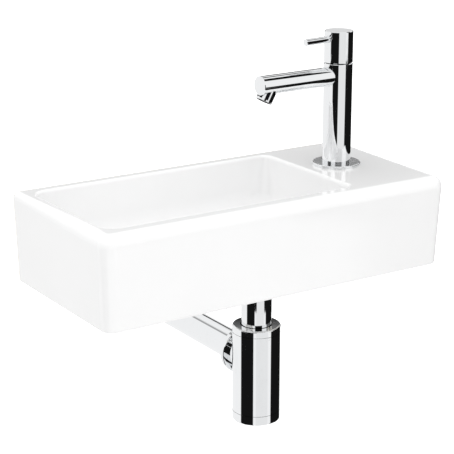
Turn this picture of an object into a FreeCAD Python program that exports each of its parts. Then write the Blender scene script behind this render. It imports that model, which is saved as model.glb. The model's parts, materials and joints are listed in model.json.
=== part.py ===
"""Wall hung hand basin with pillar tap, open waste and bottle trap.

Lengths are in millimetres, angles in degrees and slopes in length per length. The origin lies on the wall
plane, midway between the two wall bolts. +X points to the tap end, +Y into the wall and +Z up.
"""
import FreeCAD, Part
import math
import os

import Sketcher

SIZES = {
    # Basin, outside
    "basin_width": 400.0,
    "basin_depth": 186.0,
    "basin_height": 94.0,
    "rim_above_bolts": 78.0,
    "skirt_draft": 3.6,
    "front_corner_round": 12.0,
    "front_top_round": 11.0,
    "left_top_round": 6.0,
    "right_top_round": 4.0,
    "foot_edge_round": 2.5,
    # Basin, walls
    "skirt_wall": 13.0,
    "rear_wall": 12.0,
    "deck_thickness": 13.0,
    "bowl_wall": 10.0,
    # Bowl
    "bowl_left_rim": 15.0,
    "deck_width": 105.0,
    "bowl_front_rim": 22.5,
    "bowl_back_rim": 11.0,
    "bowl_depth": 52.0,
    "bowl_wall_slope": 0.096,
    "bowl_left_corner": 16.0,
    "bowl_right_corner": 8.0,
    "bowl_floor_corner": 26.0,
    "bowl_floor_round": 18.0,
    "bowl_rim_round": 3.5,
    # Drain place and the dish around it
    "drain_from_deck": 63.7,
    "drain_from_wall": 88.0,
    "dish_radius": 42.0,
    "dish_fall": 3.0,
    "waste_hole_radius": 22.5,
    "waste_seat_radius": 33.0,
    "waste_seat_depth": 4.5,
    "waste_boss_radius": 40.0,
    "waste_boss_thickness": 6.0,
    # Wall fixing
    "bolt_spacing": 200.0,
    "bolt_radius": 4.0,
    "bolt_wall_radius": 4.4,
    "bolt_in_wall": 55.0,
    "bolt_point": 6.0,
    "bolt_past_nut": 4.0,
    "fixing_hole_radius": 7.0,
    "sleeve_gap": 0.2,
    "sleeve_flange_radius": 11.0,
    "sleeve_flange_thickness": 2.5,
    "wall_washer_radius": 10.5,
    "wall_washer_thickness": 1.6,
    "wall_nut_flats": 13.0,
    "wall_nut_thickness": 6.5,
    # Clearances shared by many pieces
    "thread_gap": 0.05,
    "running_gap": 0.05,
    "slide_gap": 0.1,
    "edge_break": 0.5,
    # Tap, place and foot
    "tap_from_end": 64.6,
    "tap_from_wall": 82.5,
    "tap_turn": 1.7,
    "tap_hole_radius": 17.5,
    "rosette_radius": 25.5,
    "rosette_thickness": 3.0,
    "rosette_edge_round": 1.2,
    "rosette_seal_outer": 23.5,
    "rosette_seal_inner": 19.0,
    "rosette_seal_thickness": 1.0,
    # Tap column and cap
    "tap_height": 141.8,
    "cap_height": 32.8,
    "cap_joint_gap": 0.7,
    "column_radius": 15.1,
    "cap_wall": 2.0,
    "cap_hollow_height": 9.0,
    "water_way_radius": 5.0,
    # Cartridge
    "cartridge_radius": 9.5,
    "cartridge_depth": 34.0,
    "cartridge_wall": 2.0,
    "cartridge_neck": 8.5,
    "cartridge_head_radius": 11.5,
    "cartridge_head_thickness": 2.5,
    "cartridge_hexagon_flats": 17.0,
    "cartridge_hexagon_height": 4.0,
    "cartridge_window_radius": 4.0,
    "cartridge_seal_thickness": 2.0,
    "cartridge_seal_inner": 6.0,
    "disc_thickness": 3.5,
    "disc_port_radius": 1.8,
    "disc_port_place": 4.0,
    "spindle_radius": 4.0,
    "spindle_head_thickness": 3.0,
    "spindle_in_cap": 9.0,
    # Lever pin and cap screw
    "lever_radius": 3.5,
    "lever_reach": 46.6,
    "lever_height": 133.9,
    "lever_turn": 4.9,
    "lever_socket_depth": 3.5,
    "lever_tail_radius": 2.5,
    "lever_tail_length": 7.0,
    "cap_screw_radius": 2.0,
    "cap_screw_length": 8.0,
    "cap_screw_key_flats": 2.0,
    "cap_screw_key_depth": 2.0,
    # Spout and aerator
    "spout_radius": 10.0,
    "spout_wall": 1.4,
    "spout_height": 94.8,
    "spout_reach": 100.3,
    "spout_socket": 3.5,
    "spout_port_radius": 6.0,
    "end_plug_thickness": 2.0,
    "aerator_reach": 86.0,
    "aerator_tilt": 30.0,
    "aerator_length": 18.6,
    "aerator_radius": 8.6,
    "aerator_bore": 5.6,
    "aerator_flutes": 8.0,
    "flute_width": 3.0,
    "flute_depth": 1.2,
    "flute_length": 10.4,
    "flute_foot_margin": 1.6,
    "insert_length": 5.0,
    "insert_recess": 0.8,
    "insert_hole_radius": 0.7,
    "insert_hole_ring": 3.4,
    "insert_holes": 8.0,
    "aerator_seal_thickness": 1.5,
    "aerator_seal_inner": 4.0,
    # Tap shank and its clamp under the deck
    "shank_radius": 10.45,
    "shank_bore": 6.0,
    "shank_in_column": 14.0,
    "shank_below_deck": 52.0,
    "shank_tail_radius": 8.25,
    "shank_tail_length": 12.0,
    "shank_washer_radius": 21.0,
    "rubber_washer_thickness": 3.0,
    "steel_washer_thickness": 1.6,
    "backnut_flats": 28.0,
    "backnut_thickness": 8.0,
    # Waste
    "waste_flange_thickness": 2.5,
    "waste_flange_gap": 0.2,
    "waste_tail_radius": 20.95,
    "waste_tail_bore": 17.5,
    "waste_tail_end": 100.0,
    "waste_seal_thickness": 2.0,
    "waste_bar_width": 6.0,
    "waste_bar_height": 4.0,
    "waste_bar_drop": 12.0,
    "waste_bar_overlap": 0.5,
    "grid_thickness": 1.5,
    "grid_recess_radius": 26.0,
    "grid_recess_depth": 1.5,
    "grid_hole_radius": 2.6,
    "grid_inner_ring": 9.0,
    "grid_outer_ring": 15.0,
    "grid_inner_holes": 6.0,
    "grid_outer_holes": 12.0,
    "grid_screw_radius": 2.5,
    "grid_screw_head_radius": 4.5,
    "grid_screw_head_height": 2.0,
    "grid_screw_slot_width": 1.0,
    "waste_nut_radius": 29.0,
    "waste_nut_thickness": 9.0,
    "waste_nut_notches": 6.0,
    "waste_notch_width": 6.0,
    "bottom_seal_thickness": 3.0,
    "slip_washer_thickness": 1.6,
    # Trap, upright pieces
    "pipe_radius": 16.0,
    "pipe_wall": 1.2,
    "pipe_flange_radius": 20.0,
    "pipe_flange_thickness": 1.5,
    "pipe_end_above_foot": 23.0,
    "inlet_gasket_thickness": 2.0,
    "inlet_nut_radius": 24.5,
    "inlet_nut_thread": 13.0,
    "inlet_nut_lip": 2.5,
    "bottle_radius": 25.5,
    "bottle_wall": 2.0,
    "bottle_top_depth": 157.0,
    "bottle_cap_height": 7.4,
    "bottle_cap_web": 3.0,
    "bottle_cap_hole_gap": 1.1,
    "bottle_cap_thread_above_outlet": 3.4,
    "bottle_cap_skirt": 2.0,
    "bottle_edge_round": 1.5,
    "cone_seal_height": 4.0,
    "ring_line": 0.35,
    "bottle_length": 95.3,
    "cleaning_cap_height": 10.6,
    "cleaning_cap_web": 3.0,
    "cleaning_cap_thread": 11.0,
    "cleaning_cap_edge_round": 2.0,
    "cleaning_ring_radius": 1.2,
    # Trap, outlet towards the wall
    "outlet_below_top": 39.0,
    "outlet_stub_radius": 20.0,
    "outlet_nut_radius": 24.8,
    "outlet_nut_start": 25.9,
    "outlet_nut_length": 6.2,
    "outlet_nut_lip": 1.6,
    "outlet_seal_thickness": 2.0,
    "wall_pipe_overlap": 6.0,
    "wall_pipe_in_wall": 120.0,
    "wall_pipe_socket_length": 35.0,
    "pipe_mark_width": 0.8,
    "pipe_mark_depth": 0.25,
}

DOC = FreeCAD.newDocument("hand_basin")
SHEET = DOC.addObject("Spreadsheet::Sheet", "sizes")


class Size:
    """A number together with the sheet formula that gives it."""

    def __init__(self, number, formula):
        self.number = number
        self.formula = formula

    def __add__(self, other):
        other = as_size(other)
        return Size(self.number + other.number, f"({self.formula} + {other.formula})")

    def __radd__(self, other):
        return as_size(other) + self

    def __sub__(self, other):
        other = as_size(other)
        return Size(self.number - other.number, f"({self.formula} - {other.formula})")

    def __rsub__(self, other):
        return as_size(other) - self

    def __mul__(self, other):
        other = as_size(other)
        return Size(self.number * other.number, f"({self.formula} * {other.formula})")

    def __rmul__(self, other):
        return as_size(other) * self

    def __truediv__(self, other):
        other = as_size(other)
        return Size(self.number / other.number, f"({self.formula} / {other.formula})")

    def __neg__(self):
        return Size(-self.number, f"(-1 * {self.formula})")


def as_size(value):
    """A plain number as a Size, and a Size as it is."""
    if isinstance(value, Size):
        return value
    return Size(float(value), f"{float(value)!r}")


class Sheet:
    """The sheet's cells as attributes, each a Size."""

    def __init__(self, sheet, table):
        for row, (name, number) in enumerate(table.items(), start=1):
            sheet.set(f"A{row}", name)
            sheet.set(f"B{row}", str(number))
            sheet.setAlias(f"B{row}", name)
            setattr(self, name, Size(float(number), f"sizes.{name}"))


S = Sheet(SHEET, SIZES)
DOC.recompute()

PIECES = []
NOTHING = as_size(0.0)
FULL_TURN = 360.0
MATCH = 0.01  # how near an edge must lie to the place it is picked by
INSIDE_MARGIN = 1.0  # how far past the bowl's rim its own edges may reach


# Shared ways to draw and shape ------------------------------------------------------------------


def bind(thing, attribute, size):
    """Ties one property of a document object to the sheet."""
    thing.setExpression(attribute, as_size(size).formula)


def new_body(label):
    """A body that becomes one node."""
    body = DOC.addObject("PartDesign::Body", label)
    body.Label = label
    return body


def piece(thing, x=0.0, y=0.0, z=0.0, turn=0.0):
    """Registers a finished sub-part and puts it in its place, turned about the vertical."""
    thing.Placement = FreeCAD.Placement(FreeCAD.Vector(), FreeCAD.Rotation(FreeCAD.Vector(0, 0, 1), 1.0))
    bind(thing, "Placement.Base.x", x)
    bind(thing, "Placement.Base.y", y)
    bind(thing, "Placement.Base.z", z)
    bind(thing, "Placement.Rotation.Angle", turn)
    PIECES.append(thing)
    return thing


def origin_plane(body, role):
    """One of the body's own origin planes."""
    for feature in body.Origin.OriginFeatures:
        if feature.Role == role:
            return feature
    raise ValueError(role)


def new_sketch(body, name, role, x=0.0, y=0.0, z=0.0):
    """A sketch on an origin plane of its body, shifted in that plane's own directions."""
    sketch = body.newObject("Sketcher::SketchObject", name)
    sketch.AttachmentSupport = (origin_plane(body, role), [""])
    sketch.MapMode = "FlatFace"
    bind(sketch, "AttachmentOffset.Base.x", x)
    bind(sketch, "AttachmentOffset.Base.y", y)
    bind(sketch, "AttachmentOffset.Base.z", z)
    return sketch


def dimension(sketch, kind, places, size):
    """A driving dimension of a sketch, tied to the sheet."""
    size = as_size(size)
    index = sketch.addConstraint(Sketcher.Constraint(kind, *places, size.number))
    sketch.setExpression(f"Constraints[{index}]", size.formula)


def pin_point(sketch, edge, corner, x, y):
    """Holds one end of an edge at x, y of its sketch."""
    for kind, size, axis in (("DistanceX", as_size(x), -2), ("DistanceY", as_size(y), -1)):
        if size.number == 0.0:
            sketch.addConstraint(Sketcher.Constraint("PointOnObject", edge, corner, axis))
        else:
            dimension(sketch, kind, (-1, 1, edge, corner), size)


def draw_outline(sketch, points):
    """A closed outline of straight edges."""
    corners = [FreeCAD.Vector(as_size(x).number, as_size(y).number, 0) for x, y in points]
    first = sketch.GeometryCount
    count = len(corners)
    for i in range(count):
        sketch.addGeometry(Part.LineSegment(corners[i], corners[(i + 1) % count]), False)
    for i in range(count):
        sketch.addConstraint(Sketcher.Constraint("Coincident", first + i, 2, first + (i + 1) % count, 1))
    for i, (x, y) in enumerate(points):
        pin_point(sketch, first + i, 1, x, y)


def draw_circle(sketch, radius, x=0.0, y=0.0):
    """A circle held at x, y of its sketch."""
    centre = FreeCAD.Vector(as_size(x).number, as_size(y).number, 0)
    edge = sketch.addGeometry(Part.Circle(centre, FreeCAD.Vector(0, 0, 1), as_size(radius).number), False)
    dimension(sketch, "Radius", (edge,), radius)
    pin_point(sketch, edge, 3, x, y)


def draw_rectangle(sketch, x0, x1, y0, y1):
    """A rectangle between two x and two y values."""
    draw_outline(sketch, [(x0, y0), (x1, y0), (x1, y1), (x0, y1)])


def draw_round_rectangle(sketch, x0, x1, y0, y1, left_radius, right_radius):
    """A rectangle with tangent arcs, of one radius at the two left corners and one at the two right."""
    left, right, low, high = (as_size(v).number for v in (x0, x1, y0, y1))
    rl, rr = as_size(left_radius).number, as_size(right_radius).number
    vector = FreeCAD.Vector
    sides = [
        (vector(left + rl, low, 0), vector(right - rr, low, 0)),
        (vector(right, low + rr, 0), vector(right, high - rr, 0)),
        (vector(right - rr, high, 0), vector(left + rl, high, 0)),
        (vector(left, high - rl, 0), vector(left, low + rl, 0)),
    ]
    centres = [(right - rr, low + rr, rr), (right - rr, high - rr, rr), (left + rl, high - rl, rl),
               (left + rl, low + rl, rl)]
    for i, (start, end) in enumerate(sides):
        sketch.addGeometry(Part.LineSegment(start, end), False)
        x, y, radius = centres[i]
        circle = Part.Circle(vector(x, y, 0), vector(0, 0, 1), radius)
        quarter = math.pi / 2
        sketch.addGeometry(Part.ArcOfCircle(circle, (i - 1) * quarter, i * quarter), False)
    for i in range(4):
        side, arc, following = 2 * i, 2 * i + 1, (2 * i + 2) % 8
        sketch.addConstraint(Sketcher.Constraint("Tangent", side, 2, arc, 1))
        sketch.addConstraint(Sketcher.Constraint("Tangent", arc, 2, following, 1))
    for side, kind in ((0, "Horizontal"), (2, "Vertical"), (4, "Horizontal"), (6, "Vertical")):
        sketch.addConstraint(Sketcher.Constraint(kind, side))
    dimension(sketch, "DistanceY", (-1, 1, 0, 1), y0)
    dimension(sketch, "DistanceX", (-1, 1, 2, 1), x1)
    dimension(sketch, "DistanceY", (-1, 1, 4, 1), y1)
    dimension(sketch, "DistanceX", (-1, 1, 6, 1), x0)
    for arc, radius in ((1, right_radius), (3, right_radius), (5, left_radius), (7, left_radius)):
        dimension(sketch, "Radius", (arc,), radius)


def draw_hexagon(sketch, flats):
    """A regular hexagon across its flats, centred on the sketch's origin."""
    corner = as_size(flats) / math.sqrt(3.0)
    angles = [math.radians(60.0 * i) for i in range(6)]
    draw_outline(sketch, [(corner * math.cos(a), corner * math.sin(a)) for a in angles])


def feature(body, kind, name):
    """A new feature of a body."""
    return body.newObject(f"PartDesign::{kind}", name)


def pad(body, name, sketch, length):
    """Material from the sketch along its normal."""
    step = feature(body, "Pad", name)
    step.Profile = sketch
    bind(step, "Length", length)
    sketch.Visibility = False
    return step


def pocket(body, name, sketch, length, along_normal=False):
    """A cut from the sketch, against its normal unless said otherwise."""
    step = feature(body, "Pocket", name)
    step.Profile = sketch
    bind(step, "Length", length)
    step.Reversed = along_normal
    return step


def turn_profile(body, kind, name, sketch):
    """A profile turned once round the sketch's upright axis: Revolution adds and Groove cuts."""
    step = feature(body, kind, name)
    step.Profile = sketch
    step.ReferenceAxis = (sketch, ["V_Axis"])
    step.Angle = FULL_TURN
    return step


def loft(body, kind, name, sketches):
    """A straight-sided loft between two sketches: AdditiveLoft adds and SubtractiveLoft cuts."""
    step = feature(body, kind, name)
    step.Profile = sketches[0]
    step.Sections = sketches[1:]
    step.Ruled = True
    return step


def ring_pattern(body, name, source, axis_sketch, count):
    """Copies of a feature spaced evenly round its sketch's normal."""
    step = feature(body, "PolarPattern", name)
    step.Originals = [source]
    step.Axis = (axis_sketch, ["N_Axis"])
    step.Angle = FULL_TURN
    bind(step, "Occurrences", count)
    body.Tip = step
    return step


def round_edges(body, name, base, picked, radius, kind="Fillet"):
    """Rounds or bevels the picked edges of a feature."""
    DOC.recompute()
    names = [f"Edge{i}" for i, edge in enumerate(base.Shape.Edges, start=1) if picked(edge)]
    if not names:
        raise ValueError(f"{body.Label}: no edge for {name}")
    step = feature(body, kind, name)
    step.Base = (base, names)
    bind(step, "Radius" if kind == "Fillet" else "Size", radius)
    return step


def circle_at(radius, z):
    """Picks the round edges of this radius at this height of the body."""
    radius, z = as_size(radius).number, as_size(z).number

    def picked(edge):
        curve = edge.Curve
        if not isinstance(curve, Part.Circle):
            return False
        return abs(curve.Radius - radius) < MATCH and abs(edge.CenterOfMass.z - z) < MATCH

    return picked


def flat_at(z, low_y=None):
    """Picks the edges that lie at this height, and in front of a y value where one is given."""
    z = as_size(z).number
    limit = None if low_y is None else as_size(low_y).number

    def picked(edge):
        box = edge.BoundBox
        level = abs(box.ZMin - z) < MATCH and abs(box.ZMax - z) < MATCH
        return level and (limit is None or edge.CenterOfMass.y < limit)

    return picked


def turned(label, outline, x=0.0):
    """A body turned about an upright axis at x from an outline of radius and height pairs."""
    body = new_body(label)
    sketch = new_sketch(body, f"{label}_profile", "XZ_Plane", x=x)
    draw_outline(sketch, outline)
    turn_profile(body, "Revolution", f"{label}_turned", sketch)
    return body


def ring(label, outer, inner, low, high):
    """A plain ring between two heights."""
    return turned(label, [(inner, low), (outer, low), (outer, high), (inner, high)])


def lay_back(body, x=0.0, y=0.0, z=0.0):
    """Registers a body drawn upright and lays its axis along y, its height running into the wall."""
    body.Placement = FreeCAD.Placement(FreeCAD.Vector(), FreeCAD.Rotation(FreeCAD.Vector(1, 0, 0), -90.0))
    bind(body, "Placement.Base.x", x)
    bind(body, "Placement.Base.y", y)
    bind(body, "Placement.Base.z", z)
    PIECES.append(body)


def bevel_ends(body, radius, heights):
    """Breaks the outer round edges of a turned body at these heights."""
    for i, z in enumerate(heights):
        round_edges(body, f"{body.Label}_bevel_{i + 1}", body.Tip, circle_at(radius, z), S.edge_break, "Chamfer")


# Basin --------------------------------------------------------------------------------------------
# Heights in the basin, the waste and the trap are measured from the rim, so they are negative.

HALF_WIDTH = S.basin_width / 2
BOWL_LEFT = S.bowl_left_rim - HALF_WIDTH
BOWL_RIGHT = HALF_WIDTH - S.deck_width
BOWL_FRONT = S.bowl_front_rim - S.basin_depth
BOWL_BACK = -S.bowl_back_rim
BOWL_DRAFT = S.bowl_depth * S.bowl_wall_slope
DRAIN_X = BOWL_RIGHT - S.drain_from_deck
DRAIN_Y = -S.drain_from_wall
TAP_X = HALF_WIDTH - S.tap_from_end
TAP_Y = -S.tap_from_wall
FLANGE_TOP = -(S.bowl_depth + S.dish_fall)
WASTE_SEAT = FLANGE_TOP - S.waste_seat_depth
BOSS_UNDERSIDE = WASTE_SEAT - S.waste_boss_thickness
CUT_PAST = 5.0


def outer_block():
    """The outside with square rims: drawn in towards its foot on three sides and upright at the wall."""
    body = new_body("basin_block")
    top = new_sketch(body, "outline_rim", "XY_Plane")
    draw_rectangle(top, -HALF_WIDTH, HALF_WIDTH, -S.basin_depth, CUT_PAST)
    foot = new_sketch(body, "outline_foot", "XY_Plane", z=-S.basin_height)
    draw_rectangle(foot, S.skirt_draft - HALF_WIDTH, HALF_WIDTH - S.skirt_draft,
                   S.skirt_draft - S.basin_depth, CUT_PAST)
    block = loft(body, "AdditiveLoft", "outer_block", [top, foot])
    front = (S.skirt_draft * 2 - S.basin_depth).number

    def upright_front(edge):
        return edge.BoundBox.ZLength > MATCH and edge.CenterOfMass.y < front

    corners = round_edges(body, "front_corners", block, upright_front, S.front_corner_round)
    round_edges(body, "foot_edges", corners, flat_at(-S.basin_height, -S.foot_edge_round), S.foot_edge_round)
    return body


def round_rim(block):
    """The outer rim: one round along the front and its corners, which shrinks along both ends to the wall."""
    DOC.recompute()
    front, left, right = S.front_top_round.number, S.left_top_round.number, S.right_top_round.number
    on_rim = flat_at(0.0, -S.right_top_round)
    rounds = []
    for index, edge in enumerate(block.Shape.Edges, start=1):
        if not on_rim(edge):
            continue
        start, end = (edge.valueAt(place) for place in (edge.FirstParameter, edge.LastParameter))
        side = left if edge.CenterOfMass.x < 0.0 else right
        at_wall = [abs(point.y - CUT_PAST) < MATCH for point in (start, end)]
        rounds.append((index, side if at_wall[0] else front, side if at_wall[1] else front))
    rounded = DOC.addObject("Part::Fillet", "basin_outside")
    rounded.Base = block
    rounded.Edges = rounds
    return rounded


def bowl_loft(body, kind, name, top, floor, spread, floor_inset):
    """The bowl's shape between two heights, with its plan grown by spread all round."""
    rim = new_sketch(body, f"{name}_rim", "XY_Plane", z=top)
    draw_round_rectangle(rim, BOWL_LEFT - spread, BOWL_RIGHT + spread, BOWL_FRONT - spread, BOWL_BACK + spread,
                         S.bowl_left_corner + spread, S.bowl_right_corner + spread)
    inset = floor_inset - spread
    base = new_sketch(body, f"{name}_floor", "XY_Plane", z=floor)
    corner = S.bowl_floor_corner + spread
    draw_round_rectangle(base, BOWL_LEFT + inset, BOWL_RIGHT - inset, BOWL_FRONT + inset, BOWL_BACK - inset,
                         corner, corner)
    return loft(body, kind, name, [rim, base])


def underside(body):
    """The hollow below, with the bowl's shell standing down into it."""
    foot = new_sketch(body, "hollow_foot", "XY_Plane", z=-S.basin_height)
    inset = S.skirt_wall + S.skirt_draft
    draw_rectangle(foot, inset - HALF_WIDTH, HALF_WIDTH - inset, inset - S.basin_depth, -S.rear_wall)
    roof = new_sketch(body, "hollow_roof", "XY_Plane", z=-S.deck_thickness)
    draw_rectangle(roof, S.skirt_wall - HALF_WIDTH, HALF_WIDTH - S.skirt_wall,
                   S.skirt_wall - S.basin_depth, -S.rear_wall)
    loft(body, "SubtractiveLoft", "underside_hollow", [foot, roof])
    shell_floor = -(S.bowl_depth + S.bowl_wall)
    bowl_loft(body, "AdditiveLoft", "bowl_shell", -S.deck_thickness / 2, shell_floor, S.bowl_wall,
              BOWL_DRAFT + S.bowl_wall)
    boss = new_sketch(body, "waste_boss_outline", "XY_Plane", x=DRAIN_X, y=DRAIN_Y, z=BOSS_UNDERSIDE)
    draw_circle(boss, S.waste_boss_radius)
    pad(body, "waste_boss", boss, S.waste_boss_thickness + S.waste_seat_depth)


def bowl(body):
    """The bowl's inside, its rounded floor, its rim and the dish that falls to the drain."""
    cavity = bowl_loft(body, "SubtractiveLoft", "bowl_cavity", NOTHING, -S.bowl_depth, NOTHING, BOWL_DRAFT)
    left, right = (BOWL_LEFT - INSIDE_MARGIN).number, (BOWL_RIGHT + INSIDE_MARGIN).number
    front, back = (BOWL_FRONT - INSIDE_MARGIN).number, (BOWL_BACK + INSIDE_MARGIN).number

    def inside(edge, z):
        box = edge.BoundBox
        level = abs(box.ZMin - z) < MATCH and abs(box.ZMax - z) < MATCH
        return level and left < box.XMin and box.XMax < right and front < box.YMin and box.YMax < back

    floor = (-S.bowl_depth).number
    rounded = round_edges(body, "floor_round", cavity, lambda edge: inside(edge, floor), S.bowl_floor_round)
    round_edges(body, "rim_round", rounded, lambda edge: inside(edge, 0.0), S.bowl_rim_round)
    dish = new_sketch(body, "dish_profile", "XZ_Plane", x=DRAIN_X, z=-DRAIN_Y)
    above = CUT_PAST - S.bowl_depth
    draw_outline(dish, [(0.0, above), (S.dish_radius, above), (S.dish_radius, -S.bowl_depth),
                        (S.waste_seat_radius, FLANGE_TOP), (S.waste_seat_radius, WASTE_SEAT), (0.0, WASTE_SEAT)])
    turn_profile(body, "Groove", "dish", dish)


def basin_holes(body):
    """The back trimmed flat at the wall, then the waste hole, the tap hole and the two fixing holes."""
    trim = new_sketch(body, "back_trim_outline", "XZ_Plane")
    draw_rectangle(trim, -S.basin_width, S.basin_width, -S.basin_height - CUT_PAST, CUT_PAST)
    pocket(body, "back_trim", trim, CUT_PAST * 2)
    waste = new_sketch(body, "waste_hole_outline", "XY_Plane", x=DRAIN_X, y=DRAIN_Y, z=WASTE_SEAT)
    draw_circle(waste, S.waste_hole_radius)
    pocket(body, "waste_hole", waste, S.waste_boss_thickness + CUT_PAST)
    tap = new_sketch(body, "tap_hole_outline", "XY_Plane", x=TAP_X, y=TAP_Y)
    draw_circle(tap, S.tap_hole_radius)
    pocket(body, "tap_hole", tap, S.deck_thickness + CUT_PAST)
    fixing = new_sketch(body, "fixing_hole_outline", "XZ_Plane", y=-S.rim_above_bolts)
    for side in (-1, 1):
        draw_circle(fixing, S.fixing_hole_radius, x=S.bolt_spacing / 2 * side)
    pocket(body, "fixing_holes", fixing, S.rear_wall + CUT_PAST, along_normal=True)


def make_basin():
    outside = round_rim(outer_block())
    DOC.recompute()
    body = new_body("basin")
    body.BaseFeature = outside
    underside(body)
    bowl(body)
    basin_holes(body)
    piece(body, z=S.rim_above_bolts)


# Wall fixing ----------------------------------------------------------------------------------------


def pair_up(body, source):
    """Repeats a bolt's piece at the other bolt and registers the two as one node."""
    body.AllowCompound = True
    step = feature(body, "Mirrored", f"{body.Label}_pair")
    step.Originals = [source]
    step.MirrorPlane = (origin_plane(body, "YZ_Plane"), [""])
    body.Tip = step
    lay_back(body)


def turned_pair(label, outline):
    body = turned(label, outline, x=S.bolt_spacing / 2)
    pair_up(body, body.Tip)


def make_wall_fixing():
    """Bolt, sleeve, washer and nut: heights run from the wall plane, negative into the room."""
    inside = -S.rear_wall
    flange_face = inside - S.sleeve_flange_thickness
    washer_face = flange_face - S.wall_washer_thickness
    nut_face = washer_face - S.wall_nut_thickness
    front_end = nut_face - S.bolt_past_nut
    point_start = S.bolt_in_wall - S.bolt_point
    turned_pair("wall_bolts", [
        (0.0, front_end), (S.bolt_radius, front_end), (S.bolt_radius, 0.0), (S.bolt_wall_radius, 0.0),
        (S.bolt_wall_radius, point_start), (0.0, S.bolt_in_wall),
    ])
    bore = S.bolt_radius + S.thread_gap
    in_hole = S.fixing_hole_radius - S.sleeve_gap
    turned_pair("fixing_sleeves", [
        (bore, flange_face), (S.sleeve_flange_radius, flange_face), (S.sleeve_flange_radius, inside),
        (in_hole, inside), (in_hole, 0.0), (bore, 0.0),
    ])
    turned_pair("fixing_washers", [
        (bore, washer_face), (S.wall_washer_radius, washer_face), (S.wall_washer_radius, flange_face),
        (bore, flange_face),
    ])
    nuts = new_body("fixing_nuts")
    outline = new_sketch(nuts, "wall_nut_outline", "XY_Plane", x=S.bolt_spacing / 2, z=nut_face)
    draw_hexagon(outline, S.wall_nut_flats)
    draw_circle(outline, bore)
    pair_up(nuts, pad(nuts, "wall_nut", outline, S.wall_nut_thickness))


# Tap --------------------------------------------------------------------------------------------
# The tap's pieces stand on the deck: their height 0 is the deck's top, and the spout points to -x.

CAP_FOOT = S.tap_height - S.cap_height
COLUMN_TOP = CAP_FOOT - S.cap_joint_gap
CARTRIDGE_SEAT = COLUMN_TOP - S.cartridge_depth
DISC_FOOT = CARTRIDGE_SEAT + S.cartridge_seal_thickness
TURNING_FOOT = DISC_FOOT + S.disc_thickness + S.running_gap
SPINDLE_FOOT = TURNING_FOOT + S.disc_thickness
SPINDLE_HEAD_TOP = SPINDLE_FOOT + S.spindle_head_thickness
CARTRIDGE_INNER = S.cartridge_radius - S.cartridge_wall
CARTRIDGE_HEAD_TOP = COLUMN_TOP + S.cartridge_head_thickness
CARTRIDGE_TOP = CARTRIDGE_HEAD_TOP + S.cartridge_hexagon_height
CAP_HOLLOW_TOP = CAP_FOOT + S.cap_hollow_height
SPINDLE_TOP = CAP_HOLLOW_TOP + S.spindle_in_cap
SHANK_FOOT = -S.shank_below_deck


def tap_piece(thing):
    """Stands a tap piece on the deck at the tap hole."""
    return piece(thing, TAP_X, TAP_Y, S.rim_above_bolts, S.tap_turn)


def tap_ring(label, outer, inner, low, high):
    tap_piece(ring(label, outer, inner, low, high))


def bore_across(body, name, radius, height, start, length):
    """A round cut towards -x, from start on the x axis, at this height."""
    sketch = new_sketch(body, f"{name}_outline", "YZ_Plane", y=height, z=-start)
    draw_circle(sketch, radius)
    return pocket(body, name, sketch, length)


def make_tap_foot():
    bore = S.shank_radius + S.thread_gap
    rosette = turned("tap_rosette", [
        (bore, 0.0), (S.rosette_seal_inner, 0.0), (S.rosette_seal_inner, S.rosette_seal_thickness),
        (S.rosette_seal_outer, S.rosette_seal_thickness), (S.rosette_seal_outer, 0.0), (S.rosette_radius, 0.0),
        (S.rosette_radius, S.rosette_thickness), (bore, S.rosette_thickness),
    ])
    round_edges(rosette, "rosette_round", rosette.Tip, circle_at(S.rosette_radius, S.rosette_thickness),
                S.rosette_edge_round)
    tap_piece(rosette)
    tap_ring("rosette_seal", S.rosette_seal_outer, S.rosette_seal_inner, 0.0, S.rosette_seal_thickness)


def make_column():
    """The upright body: shank thread below, water way, cartridge bore above and the spout's socket."""
    foot = S.rosette_thickness
    thread = S.shank_radius + S.thread_gap
    thread_top = foot + S.shank_in_column
    column = turned("tap_column", [
        (thread, foot), (S.column_radius, foot), (S.column_radius, COLUMN_TOP), (S.cartridge_radius, COLUMN_TOP),
        (S.cartridge_radius, CARTRIDGE_SEAT), (S.water_way_radius, CARTRIDGE_SEAT),
        (S.water_way_radius, thread_top), (thread, thread_top),
    ])
    bevel_ends(column, S.column_radius, [COLUMN_TOP])
    socket_floor = S.column_radius - S.spout_socket
    bore_across(column, "spout_socket", S.spout_radius + S.thread_gap, S.spout_height, socket_floor,
                S.spout_socket + CUT_PAST)
    bore_across(column, "spout_port", S.spout_port_radius, S.spout_height, NOTHING, S.column_radius)
    tap_piece(column)


def make_spout():
    """A closed tube with a tilted hole below for the aerator, and the plug in its end."""
    inner = S.spout_radius - S.spout_wall
    start = S.column_radius - S.spout_socket
    plug_face = S.spout_reach - S.end_plug_thickness
    tube = new_body("spout_tube")
    outline = new_sketch(tube, "spout_outline", "YZ_Plane", y=S.spout_height, z=-plug_face)
    draw_circle(outline, S.spout_radius)
    draw_circle(outline, inner)
    pad(tube, "spout_length", outline, plug_face - start)
    tilt_hole(tube)
    tap_piece(tube)

    plug = new_body("spout_end_plug")
    face = new_sketch(plug, "plug_outline", "YZ_Plane", y=S.spout_height, z=-S.spout_reach)
    draw_circle(face, S.spout_radius)
    pad(plug, "plug_disc", face, S.end_plug_thickness)
    end_x = (-S.spout_reach).number
    round_edges(plug, "plug_bevel", plug.Tip, lambda edge: abs(edge.BoundBox.XMax - end_x) < MATCH,
                S.edge_break, "Chamfer")
    tap_piece(plug)


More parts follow.
